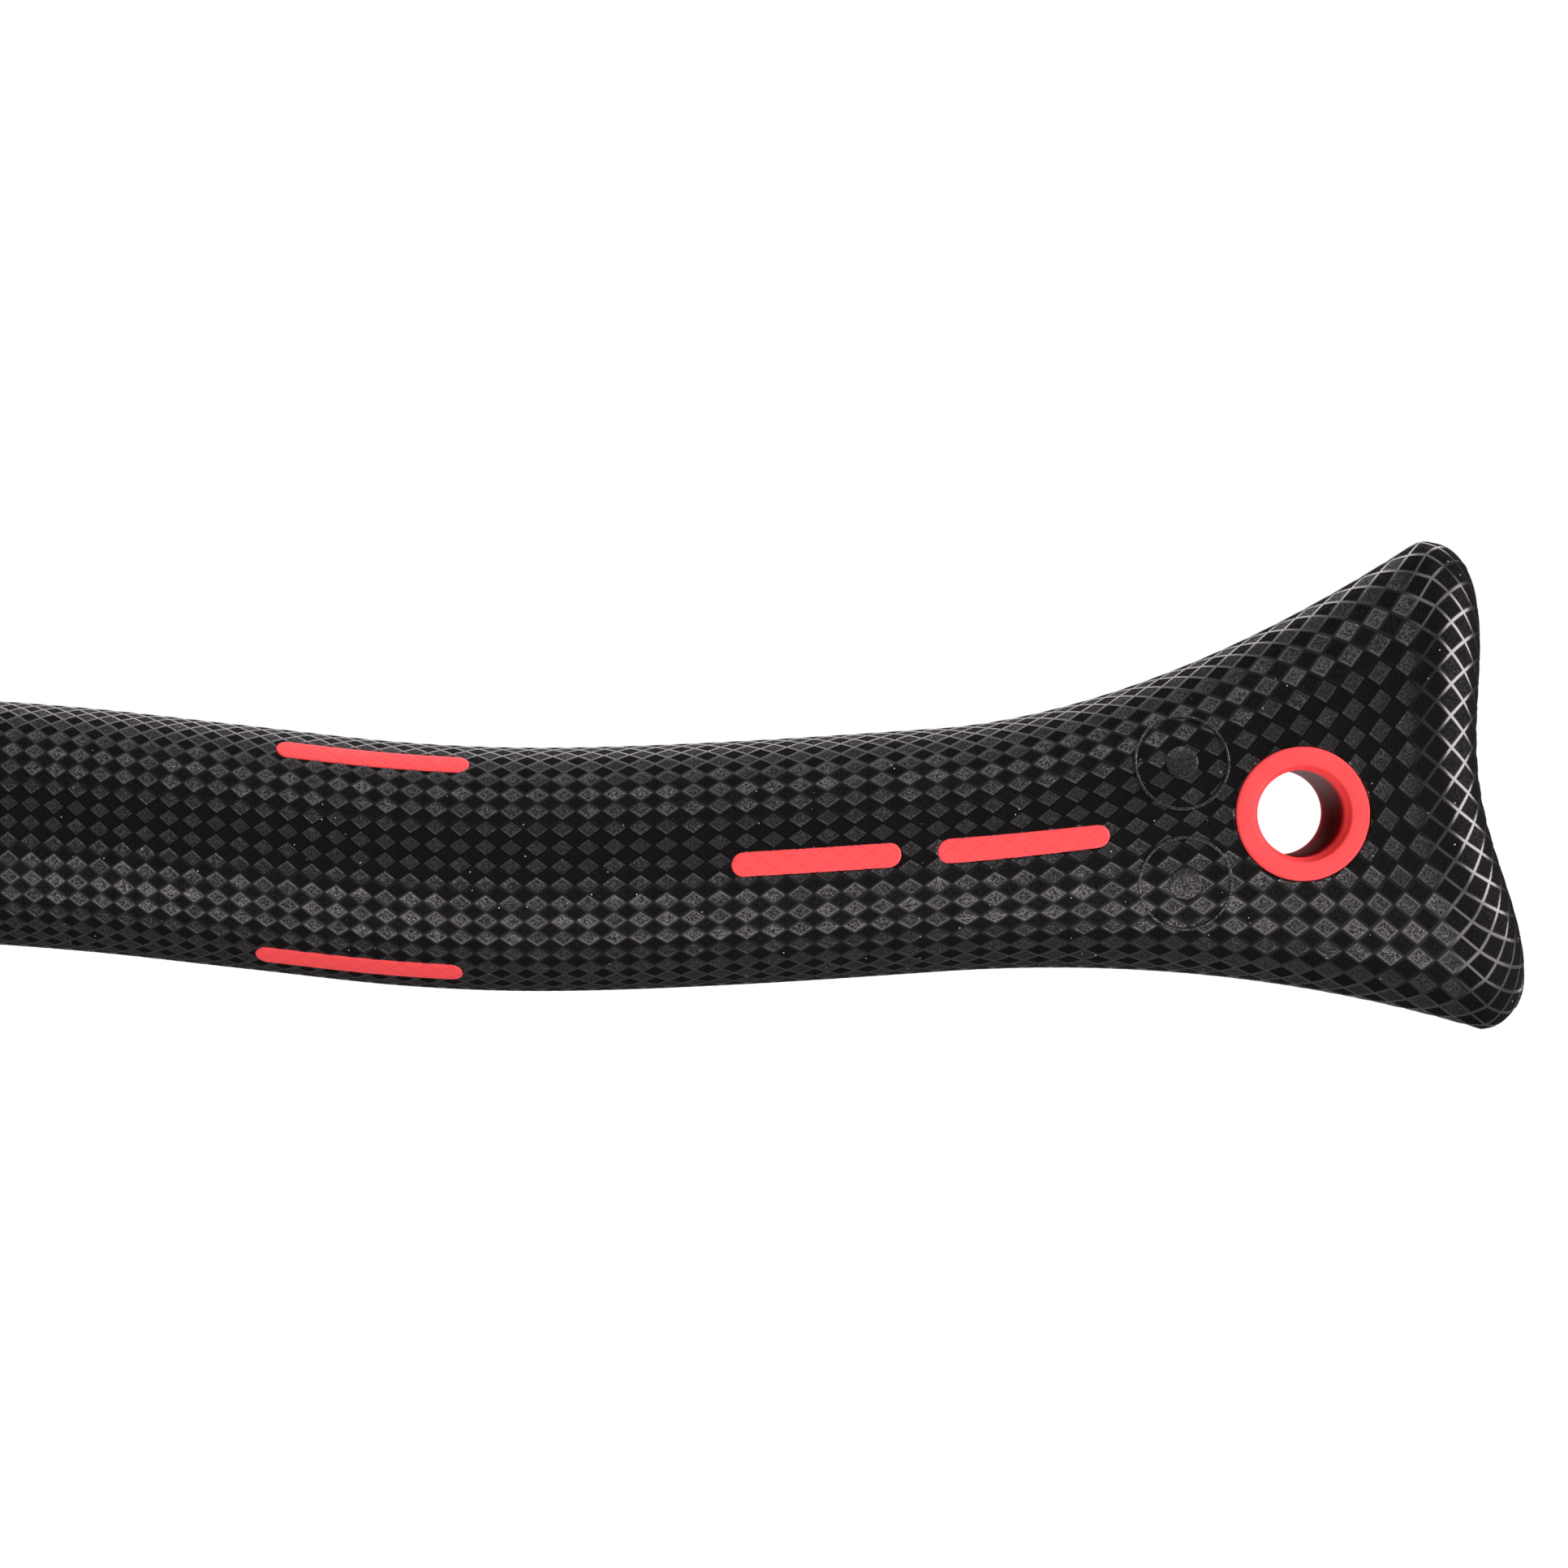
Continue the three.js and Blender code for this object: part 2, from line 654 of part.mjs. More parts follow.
/** The ears are bridged behind the cheeks, and the blade grows from the bridge. */
function adze() {
  const width = 2 * (cheekFace + gap + adzeThickness);
  const bridgeX = headTop + earInset + earHeight / 2;
  const bridge = new THREE.BoxGeometry(earHeight - bridgeMargin, width, adzeThickness);
  bridge.translate(bridgeX, 0, -earReach - adzeThickness / 2 + bridgeOverlap);
  return cut(join(adzeEar(-1), adzeEar(1), bridge, adzeBlade()), ...boltHoles());
}

// ---------------------------------------------------------------- fasteners

/** A socket screw along Y with its head on the near side, between two faces. */
function headBolt(nearFace, farFace) {
  const radius = boltDiameter / 2;
  const headRadius = boltHead / 2;
  const head = -nearFace - gap;
  const tip = farFace + washerThickness + nutHeight + 3 * gap + boltEnd;
  const crown = head - boltHeadHeight;
  const profile = [
    [0, crown],
    [headRadius - boltHeadChamfer, crown],
    [headRadius, crown + boltHeadChamfer],
    [headRadius, head],
    [radius, head],
    [radius, tip - boltChamfer],
    [radius - boltChamfer, tip],
    [0, tip],
  ].map(([r, y]) => new THREE.Vector2(r, y));
  const keyRadius = socketKey / Math.sqrt(3);
  const socket = new THREE.CylinderGeometry(keyRadius, keyRadius, beyond, 6);
  socket.translate(0, crown + socketDepth - beyond / 2, 0);
  return cut(new THREE.LatheGeometry(profile, 18), socket);
}

function ringOnY(outer, inner, height, outerSides) {
  const body = new THREE.CylinderGeometry(outer / 2, outer / 2, height, outerSides);
  return cut(body, new THREE.CylinderGeometry(inner / 2, inner / 2, 2 * height, 18));
}

function washer() {
  return ringOnY(washerDiameter, boltDiameter + 2 * gap, washerThickness, 20);
}

function nut() {
  return ringOnY((nutKey * 2) / Math.sqrt(3), boltDiameter + 2 * gap, nutHeight, 6);
}

/** A rivet along Y with a domed head on each side of the tube. */
function rivet() {
  const radius = rivetDiameter / 2;
  const headRadius = rivetHead / 2;
  const seat = tubeWidth / 2 + gap;
  const dome = [0, 35, 65, 90].map((turn) => [
    headRadius * Math.cos(degrees(turn)),
    seat + rivetHeadHeight * Math.sin(degrees(turn)),
  ]);
  const half = [[radius, seat], ...dome];
  const mirrored = half.map(([r, y]) => [r, -y]).reverse();
  const points = [...mirrored, ...half].map(([r, y]) => new THREE.Vector2(r, y));
  return new THREE.LatheGeometry(points, 14);
}

// ---------------------------------------------------------------- assembly

function piece(name, geometry, material, x = 0, y = 0, z = 0) {
  const mesh = new THREE.Mesh(geometry, material);
  mesh.name = name;
  mesh.position.set(x, y, z);
  return mesh;
}

function handle() {
  const group = new THREE.Group();
  group.add(piece('shaft_tube', shaftTube(), anodised));
  group.add(piece('shaft_end_plug', shaftEndPlug(), corePlastic));
  group.add(piece('grip_core', gripCore(), corePlastic));
  group.add(piece('grip_skin', gripSkin(), blackRubber));
  group.add(piece('eyelet_bushing', eyeletBushing(), redPlastic));
  for (const place of inlayPlaces) {
    group.add(piece(place.name, inlayPiece(place), redRubber));
  }
  return group;
}

/** A bolt with its washer and nut, between its two outer faces. */
function boltSet(prefix, z, face) {
  const washerY = [face, gap, washerThickness / 2].reduce(sum);
  const nutY = [face, 2 * gap, washerThickness, nutHeight / 2].reduce(sum);
  return [
    piece(`${prefix}_bolt`, headBolt(face, face), darkSteel, boltX, 0, z),
    piece(`${prefix}_washer`, washer(), steel, boltX, washerY, z),
    piece(`${prefix}_nut`, nut(), darkSteel, boltX, nutY, z),
  ];
}

function head() {
  const group = new THREE.Group();
  group.position.copy(tubeTop);
  group.rotation.y = bend;
  group.add(piece('head_body', headBody(), forgedAlloy));
  group.add(piece('pick', pickPlate(), steel));
  group.add(piece('adze', adze(), steel));
  group.add(...boltSet('front', frontBoltReach, cheekFace));
  group.add(...boltSet('rear', rearBoltReach, cheekFace + gap + adzeThickness));
  rivetPlaces.forEach((place, i) => {
    group.add(piece(`shaft_rivet_${i + 1}`, rivet(), steel, place, 0, 0));
  });
  return group;
}

const iceAxe = new THREE.Group();
iceAxe.add(handle(), head());

export default iceAxe;
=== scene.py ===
import math

import bmesh
import bpy
import numpy as np
from mathutils import Matrix, Vector
from mathutils.bvhtree import BVHTree


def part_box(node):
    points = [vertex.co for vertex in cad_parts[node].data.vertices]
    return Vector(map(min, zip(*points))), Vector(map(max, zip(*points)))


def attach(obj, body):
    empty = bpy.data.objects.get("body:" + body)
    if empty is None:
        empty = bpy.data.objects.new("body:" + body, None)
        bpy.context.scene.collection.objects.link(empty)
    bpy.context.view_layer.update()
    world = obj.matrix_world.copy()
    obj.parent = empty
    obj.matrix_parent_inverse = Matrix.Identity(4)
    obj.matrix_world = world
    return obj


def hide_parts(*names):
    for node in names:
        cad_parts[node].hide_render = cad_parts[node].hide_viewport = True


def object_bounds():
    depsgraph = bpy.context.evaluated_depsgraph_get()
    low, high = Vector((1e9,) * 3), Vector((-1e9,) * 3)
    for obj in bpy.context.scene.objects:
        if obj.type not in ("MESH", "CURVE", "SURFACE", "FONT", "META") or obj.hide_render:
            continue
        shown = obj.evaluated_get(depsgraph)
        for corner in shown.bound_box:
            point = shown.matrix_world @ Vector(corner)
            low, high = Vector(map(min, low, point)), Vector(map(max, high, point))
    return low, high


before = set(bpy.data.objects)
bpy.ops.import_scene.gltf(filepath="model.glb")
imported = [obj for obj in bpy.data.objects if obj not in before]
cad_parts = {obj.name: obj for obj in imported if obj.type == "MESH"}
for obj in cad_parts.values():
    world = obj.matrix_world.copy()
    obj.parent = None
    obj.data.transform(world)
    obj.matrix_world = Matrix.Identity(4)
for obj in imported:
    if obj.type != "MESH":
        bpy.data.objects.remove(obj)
cad_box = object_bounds()

MM = 0.001
CIRCLE_STEPS = 96

# ---- sizes, in millimetres
# The grip's form is the CAD's own: a curved centreline, an oval section and two flares.

TUBE_HEIGHT, TUBE_WIDTH, TUBE_WALL = 25.0, 18.0, 1.6
GRIP_HEIGHT, GRIP_WIDTH = 34.8, 27.0
GRIP_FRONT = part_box("grip_skin")[0][0] / MM
TAPER_LENGTH, LIP_WALL = 18.0, 2.2
GRIP_CENTRE = np.array([
    (-140, 7.6), (-105, 6.9), (-82, 5.4), (-58, 2.8), (-35, 0.35),
    (-15, -0.4), (12, 0.5), (47, 2.75), (82, 5.1), (120, 7.8),
])
FLARE_START = 42.0
TOE_X, TOE_FLARE, TOE_POWER = 110.6, 22.1, 1.8
HEEL_X, HEEL_FLARE, HEEL_POWER = 119.8, 13.7, 2.1
GRIP_END = (TOE_X + HEEL_X) / 2
POMMEL_SWELL = 0.9
END_ROUND, END_HOLLOW = 6.5, 3.7
HOLLOW_START, HOLLOW_REACH = 0.6, 0.95
END_SQUARENESS = 0.4
LIP_ROUND = 1.1

# The diamond relief. Its diamonds grow longer towards the pommel, by DIAMOND_GROWTH per millimetre.
DIAMOND_LENGTH, DIAMOND_GROWTH = 3.70, 0.0058
DIAMONDS_AROUND = 37
STEPS_PER_DIAMOND = 8
COLUMNS = DIAMONDS_AROUND * STEPS_PER_DIAMOND
LAND_HEIGHT = 0.15
CELL_CROWN = 0.05
PLAIN_LIP, FULL_RELIEF = 2.0, 6.0

EYELET_X, EYELET_Z = 92.3, 7.7
EYELET_BORE, EYELET_FLANGE = 12.3, 18.9
EYELET_STEP, FLANGE_THICKNESS = 0.6, 1.6
EYELET_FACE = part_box("eyelet_bushing")[1][1] / MM
SEAT_RADIUS = EYELET_FLANGE / 2 + 0.08
SEAT_DEPTH = 2.0
EYELET_BARREL = SEAT_RADIUS - 1.5

INLAY_WIDTH = 3.5
INLAYS = {
    "inlay_pommel": (41.0, 65.2, 0.0),
    "inlay_middle": (12.0, 35.9, 0.0),
    "inlay_upper": (-52.9, -25.4, 0.85),
    "inlay_lower": (-55.8, -26.3, -0.85),
}
INLAY_PROUD, INLAY_EDGE = 0.2, 0.22
POCKET_DEPTH = 0.55
# How far inside an inlay's outline its pocket starts to fall, and where it reaches its full depth.
POCKET_RIM, POCKET_FLOOR = 0.1, 0.6

# Two thin moulded rings between the eyelet and its nearest inlay, as X and Z.
MARK_CENTRES = [(75.4, 14.9), (75.9, -2.1)]
MARK_RADIUS, MARK_WIDTH, MARK_DOT = 6.5, 0.5, 2.3
MARK_RISE, DOT_RISE = 0.3, 0.26

# The shaft in front of the grip: level, then bent to the head.
TUBE_FOOT = 70.0
TUBE_LEVEL, BEND, BEND_RADIUS, NECK = 85.0, math.radians(15), 220.0, 62.0
GAP = 0.3

# The head, in its own frame: X along the shaft with 0 at the tube's top, Z to the pick.
CHEEK_WIDTH, CHEEK_DEPTH, CHEEK_FRONT, CHEEK_REAR = 16.0, 33.0, 23.0, 19.0
CHEEK_CORNER, FRONT_SHOULDER, REAR_SHOULDER, SHOULDER_CURVE = 6.0, 14.0, 12.0, 8.0
COLLAR, SLOT_DEPTH, TENON = 7.0, 29.0, 34.0
HEAD_TOP = -(COLLAR + CHEEK_DEPTH)
SLOT_FLOOR = HEAD_TOP + SLOT_DEPTH
BOLT_X = HEAD_TOP + SLOT_DEPTH / 2 + 1
FRONT_BOLT, REAR_BOLT = 12.0, -11.0
RIVET_PLACES, RIVET_DIAMETER, RIVET_HEAD, RIVET_RISE = (10.0, 25.0), 5.0, 8.4, 1.6

PICK_THICKNESS, PICK_REACH, PICK_DROP = 4.0, 168.0, 46.0
PICK_BASE, PICK_TIP, PICK_STAND = 27.0, 7.0, 4.0
PICK_REAR, PICK_REAR_CORNER, PICK_BENT_FROM = 20.0, 8.0, 20.0
TIP_CHAMFER, TIP_FLAT = 6.0, 9.0
PICK_THINS_FROM, PICK_TIP_THINNESS = 90.0, 0.6
TEETH, TOOTH_PITCH, TOOTH_DEPTH, TOOTH_RAKE = 10, 8.6, 2.8, 0.35
CLIP_HOLE, CLIP_REACH = 15.0, 43.0

ADZE_THICKNESS, ADZE_EDGE, ADZE_LENGTH, ADZE_CROWN, ADZE_RADIUS = 3.0, 54.0, 62.0, 2.5, 95.0
GRIND_WIDTH, GRIND_THINNESS = 9.0, 0.22
BRIDGE_MARGIN, BRIDGE_OVERLAP = 1.5, 0.5
EAR_REACH, EAR_HEIGHT, EAR_INSET, EAR_PAST_BOLT, EAR_CORNER = 30.0, 22.0, 4.0, 8.0, 6.0

BOLT_DIAMETER, BOLT_HEAD, BOLT_HEAD_HEIGHT, BOLT_END = 7.0, 13.0, 4.2, 1.5
SOCKET_KEY, SOCKET_DEPTH = 5.0, 2.6
NUT_KEY, NUT_HEIGHT = 11.0, 5.0
WASHER_DIAMETER, WASHER_THICKNESS = 14.0, 1.2


# ---- grip surface

def line_height(x):
    """Height of the grip's centreline at x, the CAD's smooth line through its points."""
    px, pz = GRIP_CENTRE[:, 0], GRIP_CENTRE[:, 1]
    slopes = np.empty(len(px))
    slopes[1:-1] = (pz[2:] - pz[:-2]) / (px[2:] - px[:-2])
    slopes[0] = (pz[1] - pz[0]) / (px[1] - px[0])
    slopes[-1] = (pz[-1] - pz[-2]) / (px[-1] - px[-2])
    i = np.clip(np.searchsorted(px, x, side="left"), 1, len(px) - 1)
    span = px[i] - px[i - 1]
    t = np.clip((x - px[i - 1]) / span, 0, 1)
    ends = pz[i - 1] * (1 + 2 * t) * (1 - t) ** 2 + pz[i] * t**2 * (3 - 2 * t)
    return ends + span * (slopes[i - 1] * t * (1 - t) ** 2 - slopes[i] * t**2 * (1 - t))


def ease(low, high, x):
    t = np.clip((x - low) / (high - low), 0, 1)
    return t * t * (3 - 2 * t)


def flare(x, end, amount, power):
    return amount * np.maximum((x - FLARE_START) / (end - FLARE_START), 0) ** power


class Sections:
    """The grip's sections at many stations, each moved in by an inset and forward by an advance."""

    def __init__(self, station, inset=0.0, advance=0.0):
        station = np.asarray(station, float)
        self.inset = np.broadcast_to(inset, station.shape)
        self.advance = np.broadcast_to(advance, station.shape)
        pommel = np.maximum((station - FLARE_START) / (GRIP_END - FLARE_START), 0)
        lean = (HEEL_X - TOE_X) / 2 * pommel
        full = ease(GRIP_FRONT, GRIP_FRONT + TAPER_LENGTH, station)
        half_height = TUBE_HEIGHT / 2 + LIP_WALL + full * (GRIP_HEIGHT - TUBE_HEIGHT - 2 * LIP_WALL) / 2
        half_width = TUBE_WIDTH / 2 + LIP_WALL + full * (GRIP_WIDTH - TUBE_WIDTH - 2 * LIP_WALL) / 2
        upper_x, lower_x = station - lean, station + lean
        upper = line_height(upper_x) + half_height + flare(upper_x, TOE_X, TOE_FLARE, TOE_POWER)
        lower = line_height(lower_x) - half_height - flare(lower_x, HEEL_X, HEEL_FLARE, HEEL_POWER)
        self.middle = np.stack([(upper_x + lower_x) / 2, (upper + lower) / 2], -1)
        self.half = np.stack([(upper_x - lower_x) / 2, (upper - lower) / 2], -1)
        self.tall = np.linalg.norm(self.half, axis=-1)
        self.width = half_width + POMMEL_SWELL * ease(0, 1, pommel)
        self.forward = np.stack([self.half[..., 1], -self.half[..., 0]], -1) / self.tall[..., None]
        self.hollow = END_HOLLOW * ease(HOLLOW_START, 1, pommel)
        self.square = 2 + END_SQUARENESS * ease(0, 1, pommel)

    def point(self, angle):
        """Points at angles around the sections. The angles' first axis runs over the stations."""
        wide = (slice(None),) + (None,) * (np.ndim(angle) - 1)
        power = 2 / self.square[wide]
        across = np.sign(np.cos(angle)) * np.abs(np.cos(angle)) ** power
        height = np.sign(np.sin(angle)) * np.abs(np.sin(angle)) ** power
        off = np.abs(height / HOLLOW_REACH)
        hollow = np.where(off < 1, np.cos(np.minimum(off, 1) * math.pi / 2) ** 2, 0)
        along = self.advance[wide] - self.hollow[wide] * hollow
        rise = height * (1 - self.inset[wide] / self.tall[wide])
        x = self.middle[..., 0][wide] + self.half[..., 0][wide] * rise + self.forward[..., 0][wide] * along
        z = self.middle[..., 1][wide] + self.half[..., 1][wide] * rise + self.forward[..., 1][wide] * along
        return np.stack([x, across * (self.width - self.inset)[wide], z], -1)


def even_angles(sections, count):
    """For each section, count angles that are evenly spaced along its outline, from its lowest point."""
    fine = np.linspace(-math.pi / 2, 1.5 * math.pi, 1441)
    outline = sections.point(np.broadcast_to(fine, (len(sections.tall), len(fine))))
    length = np.linalg.norm(np.diff(outline, axis=1), axis=-1).cumsum(axis=1)
    length = np.concatenate([np.zeros((len(length), 1)), length], axis=1)
    share = np.arange(count) / count
    return np.array([np.interp(share * row[-1], row, fine) for row in length])


def normals_of(grid):
    """Outward unit normals of a grid of points that closes on itself along its second axis."""
    along = np.gradient(grid, axis=0)
    around = np.roll(grid, -1, axis=1) - np.roll(grid, 1, axis=1)
    normal = np.cross(around, along)
    return normal / np.maximum(np.linalg.norm(normal, axis=-1, keepdims=True), 1e-9)


# ---- mesh helpers

def new_object(name, mesh):
    made = bpy.data.objects.new(name, mesh)
    bpy.context.scene.collection.objects.link(made)
    return made


def crease(mesh, degrees=32.0):
    """Smooth shading, with sharp edges kept where faces meet at more than an angle."""
    mesh.polygons.foreach_set("use_smooth", np.ones(len(mesh.polygons), bool))
    mesh.set_sharp_from_angle(angle=math.radians(degrees))


def mesh_from(name, points, faces, lattice=None):
    """An object from points in millimetres and faces of any size, with coincident points merged."""
    shape = bmesh.new()
    corners = [shape.verts.new(Vector(point) * MM) for point in points]
    layer = shape.loops.layers.uv.new("lattice") if lattice is not None else None
    for face in faces:
        made = shape.faces.new([corners[i] for i in face])
        if layer:
            for loop, i in zip(made.loops, face):
                loop[layer].uv = lattice[i]
    bmesh.ops.remove_doubles(shape, verts=shape.verts, dist=0.002 * MM)
    bmesh.ops.delete(shape, geom=[edge for edge in shape.edges if edge.is_wire], context="EDGES")
    bmesh.ops.recalc_face_normals(shape, faces=shape.faces)
    mesh = bpy.data.meshes.new(name)
    shape.to_mesh(mesh)
    shape.free()
    crease(mesh)
    return new_object(name, mesh)


def triangle_object(name, points, triangles, lattice):
    """A smooth mesh of many triangles, with the relief's coordinates kept at each corner."""
    mesh = bpy.data.meshes.new(name)
    mesh.vertices.add(len(points))
    mesh.vertices.foreach_set("co", (points * MM).ravel())
    mesh.loops.add(triangles.size)
    mesh.loops.foreach_set("vertex_index", triangles.ravel())
    mesh.polygons.add(len(triangles))
    mesh.polygons.foreach_set("loop_start", np.arange(0, triangles.size, 3))
    mesh.polygons.foreach_set("use_smooth", np.ones(len(triangles), bool))
    layer = mesh.uv_layers.new(name="lattice")
    layer.uv.foreach_set("vector", lattice.ravel())
    mesh.update(calc_edges=True)
    mesh.validate()
    return new_object(name, mesh)


def ring_faces(rows, columns, closed_rows=False):
    """Quads of a grid that closes on itself along its columns, and along its rows if asked."""
    ends = rows if closed_rows else rows - 1
    faces = []
    for i in range(ends):
        for j in range(columns):
            below, above = i * columns, (i + 1) % rows * columns
            side = (j + 1) % columns
            faces.append((below + j, below + side, above + side, above + j))
    return faces


def rounded(corners, radius, steps=4):
    """A closed outline with each corner rounded, apart from those on the axis."""
    points = []
    for i, corner in enumerate(corners):
        here = np.array(corner, float)
        before, after = np.array(corners[i - 1], float), np.array(corners[(i + 1) % len(corners)], float)
        to_before, to_after = before - here, after - here
        room = min(np.linalg.norm(to_before), np.linalg.norm(to_after)) * 0.45
        reach = min(radius, room)
        if here[0] == 0 or reach == 0:
            points.append(here)
            continue
        start = here + to_before / np.linalg.norm(to_before) * reach
        end = here + to_after / np.linalg.norm(to_after) * reach
        for t in np.linspace(0, 1, steps + 1):
            points.append((1 - t) ** 2 * start + 2 * t * (1 - t) * here + t**2 * end)
    return points


def lathe(name, corners, radius=0.3, segments=CIRCLE_STEPS):
    """A closed outline of radius and Y, turned about the Y axis."""
    outline = rounded(corners, radius)
    points = [(r * math.cos(t), y, r * math.sin(t)) for r, y in outline for t in full_turn(segments)]
    return mesh_from(name, points, ring_faces(len(outline), segments, closed_rows=True))


def plate(name, outlines, thickness, bevel):
    """A plate with rounded edges, from a border and holes drawn in X and Z, centred on Y."""
    curve = bpy.data.curves.new(name, "CURVE")
    curve.dimensions = "2D"
    curve.fill_mode = "BOTH"
    curve.extrude = thickness / 2 - bevel
    curve.bevel_depth = bevel
    curve.bevel_resolution = 2
    curve.offset = -bevel
    for outline in outlines:
        spline = curve.splines.new("POLY")
        spline.points.add(len(outline) - 1)
        spline.points.foreach_set("co", np.array([(x, z, 0, 1) for x, z in outline]).ravel())
        spline.use_cyclic_u = True
    drawn = new_object(name, curve)
    mesh = bpy.data.meshes.new_from_object(drawn.evaluated_get(bpy.context.evaluated_depsgraph_get()))
    bpy.data.objects.remove(drawn)
    mesh.transform(Matrix.Scale(MM, 4) @ Matrix.Rotation(math.pi / 2, 4, "X"))
    weld(mesh)
    crease(mesh)
    return new_object(name, mesh)


def weld(mesh):
    shape = bmesh.new()
    shape.from_mesh(mesh)
    bmesh.ops.remove_doubles(shape, verts=shape.verts, dist=0.001 * MM)
    bmesh.ops.recalc_face_normals(shape, faces=shape.faces)
    shape.to_mesh(mesh)
    shape.free()


def combine(target, *tools, how="DIFFERENCE"):
    """Cut the tools from the target, or join or intersect them with it."""
    for tool in tools:
        modifier = target.modifiers.new("combine", "BOOLEAN")
        modifier.solver = "EXACT"
        modifier.operation = how
        modifier.object = tool
        joined = target.evaluated_get(bpy.context.evaluated_depsgraph_get())
        mesh = bpy.data.meshes.new_from_object(joined)
        target.modifiers.clear()
        target.data = mesh
        bpy.data.objects.remove(tool)
    crease(target.data)
    return target


def moved(piece, x=0.0, y=0.0, z=0.0):
    piece.data.transform(Matrix.Translation(Vector((x, y, z)) * MM))
    return piece


def cross_bar(diameter, x, z):
    """A plain round cutter along Y."""
    radius, half = diameter / 2, 40.0
    return moved(lathe("cutter", [(0, -half), (radius, -half), (radius, half), (0, half)], 0), x, 0, z)


def full_turn(count=CIRCLE_STEPS):
    """Even angles around a circle."""
    return np.arange(count) * 2 * math.pi / count


def arc(x, z, radius, start, end, steps=10):
    """Points on a round corner, between two angles in degrees."""
    turns = np.radians(np.linspace(start, end, steps))
    return [(x + radius * math.cos(turn), z + radius * math.sin(turn)) for turn in turns]


def curve(*controls, steps=10):
    """Points on a smooth curve from the first control point to the last, drawn towards those between."""
    ts = np.linspace(0, 1, steps)
    last = len(controls) - 1
    weights = [math.comb(last, i) * ts**i * (1 - ts) ** (last - i) for i in range(last + 1)]
    return [tuple(point) for point in np.stack(weights, -1) @ np.array(controls, float)]


def finished(piece, node, material):
    """Give a piece its material, hide the CAD node that it stands for, and hang the piece from the root
    body.
    """
    piece.data.materials.clear()
    piece.data.materials.append(material)
    if node:
        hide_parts(node)
    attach(piece, "root")
    return piece


# ---- materials

class Nodes:
    """Short ways to add and join shader nodes."""

    def __init__(self, name):
        self.material = bpy.data.materials.new(name)
        self.material.use_nodes = True
        self.tree = self.material.node_tree
        self.shader = self.tree.nodes["Principled BSDF"]

    def add(self, kind, **settings):
        node = self.tree.nodes.new(kind)
        for key, value in settings.items():
            setattr(node, key, value)
        return node

    def put(self, socket, value):
        if isinstance(value, bpy.types.NodeSocket):
            self.tree.links.new(value, socket)
        else:
            socket.default_value = value

    def set(self, name, value):
        self.put(self.shader.inputs[name], value)

    def math(self, operation, *values):
        node = self.add("ShaderNodeMath", operation=operation)
        for socket, value in zip(node.inputs, values):
            self.put(socket, value)
        return node.outputs[0]

    def times(self, first, second):
        return self.math("MULTIPLY", first, second)

    def flip(self, share):
        return self.math("SUBTRACT", 1.0, share)

    def place(self):
        return self.add("ShaderNodeTexCoord").outputs["Object"]

    def split(self, vector):
        node = self.add("ShaderNodeSeparateXYZ")
        self.put(node.inputs[0], vector)
        return node.outputs

    def mix(self, share, first, second):
        """A colour between two, or a number between two when they're numbers."""
        kind = "FLOAT" if isinstance(first, float) or isinstance(second, float) else "RGBA"
        node = self.add("ShaderNodeMix", data_type=kind)
        slots = {"RGBA": (0, 6, 7, 2), "FLOAT": (0, 2, 3, 0)}[kind]
        self.put(node.inputs[slots[0]], share)
        self.put(node.inputs[slots[1]], first)
        self.put(node.inputs[slots[2]], second)
        return node.outputs[slots[3]]

    def step(self, value, low, high):
        node = self.add("ShaderNodeMapRange", interpolation_type="SMOOTHSTEP")
        for index, given in enumerate((value, low, high, 0.0, 1.0)):
            self.put(node.inputs[index], given)
        return node.outputs[0]

    def noise(self, scale, detail=2.0, stretch=(1, 1, 1)):
        """Noise in the object's own coordinates, with detail drawn out where stretch is small."""
        mapping = self.add("ShaderNodeMapping")
        self.put(mapping.inputs["Scale"], stretch)
        self.put(mapping.inputs["Vector"], self.place())
        node = self.add("ShaderNodeTexNoise")
        self.put(node.inputs["Scale"], scale)
        self.put(node.inputs["Detail"], detail)
        self.put(node.inputs["Vector"], mapping.outputs[0])
        return node.outputs["Fac"]

    def bump(self, height, distance, strength=1.0):
        node = self.add("ShaderNodeBump")
        self.put(node.inputs["Strength"], strength)
        self.put(node.inputs["Distance"], distance)
        self.put(node.inputs["Height"], height)
        self.set("Normal", node.outputs[0])


def grey(value, warm=0.0):
    return (value * (1 + warm), value, value * (1 - warm * 0.4), 1.0)


def relief_fields(n):
    """The relief's masks: lands, cell kind, fine lines, cell rims, chance per cell and the plain end."""
    along, around, _ = n.split(n.add("ShaderNodeUVMap", uv_map="lattice").outputs[0])
    rising = n.math("ADD", along, around)
    falling = n.math("SUBTRACT", along, around)
    edge = n.math("MINIMUM", n.math("PINGPONG", rising, 0.5), n.math("PINGPONG", falling, 0.5))
    land = n.flip(n.step(edge, 0.045, 0.085))
    rim = n.flip(n.step(edge, 0.13, 0.17))
    row, column = n.math("FLOOR", rising), n.math("FLOOR", falling)
    end = n.step(along, -1.1, -0.3)
    kind = n.times(n.math("PINGPONG", n.math("ADD", row, column), 1.0), n.flip(end))
    cell = n.add("ShaderNodeCombineXYZ")
    n.put(cell.inputs[0], row)
    n.put(cell.inputs[1], column)
    chance = n.add("ShaderNodeTexWhiteNoise")
    n.put(chance.inputs["Vector"], cell.outputs[0])
    lengthwise = n.math("SINE", n.times(around, 2 * math.pi * 9))
    crosswise = n.math("SINE", n.times(along, 2 * math.pi * 12))
    lines = n.math("ADD", n.times(kind, lengthwise), n.times(n.flip(kind), crosswise))
    return land, kind, lines, rim, chance.outputs["Value"], end


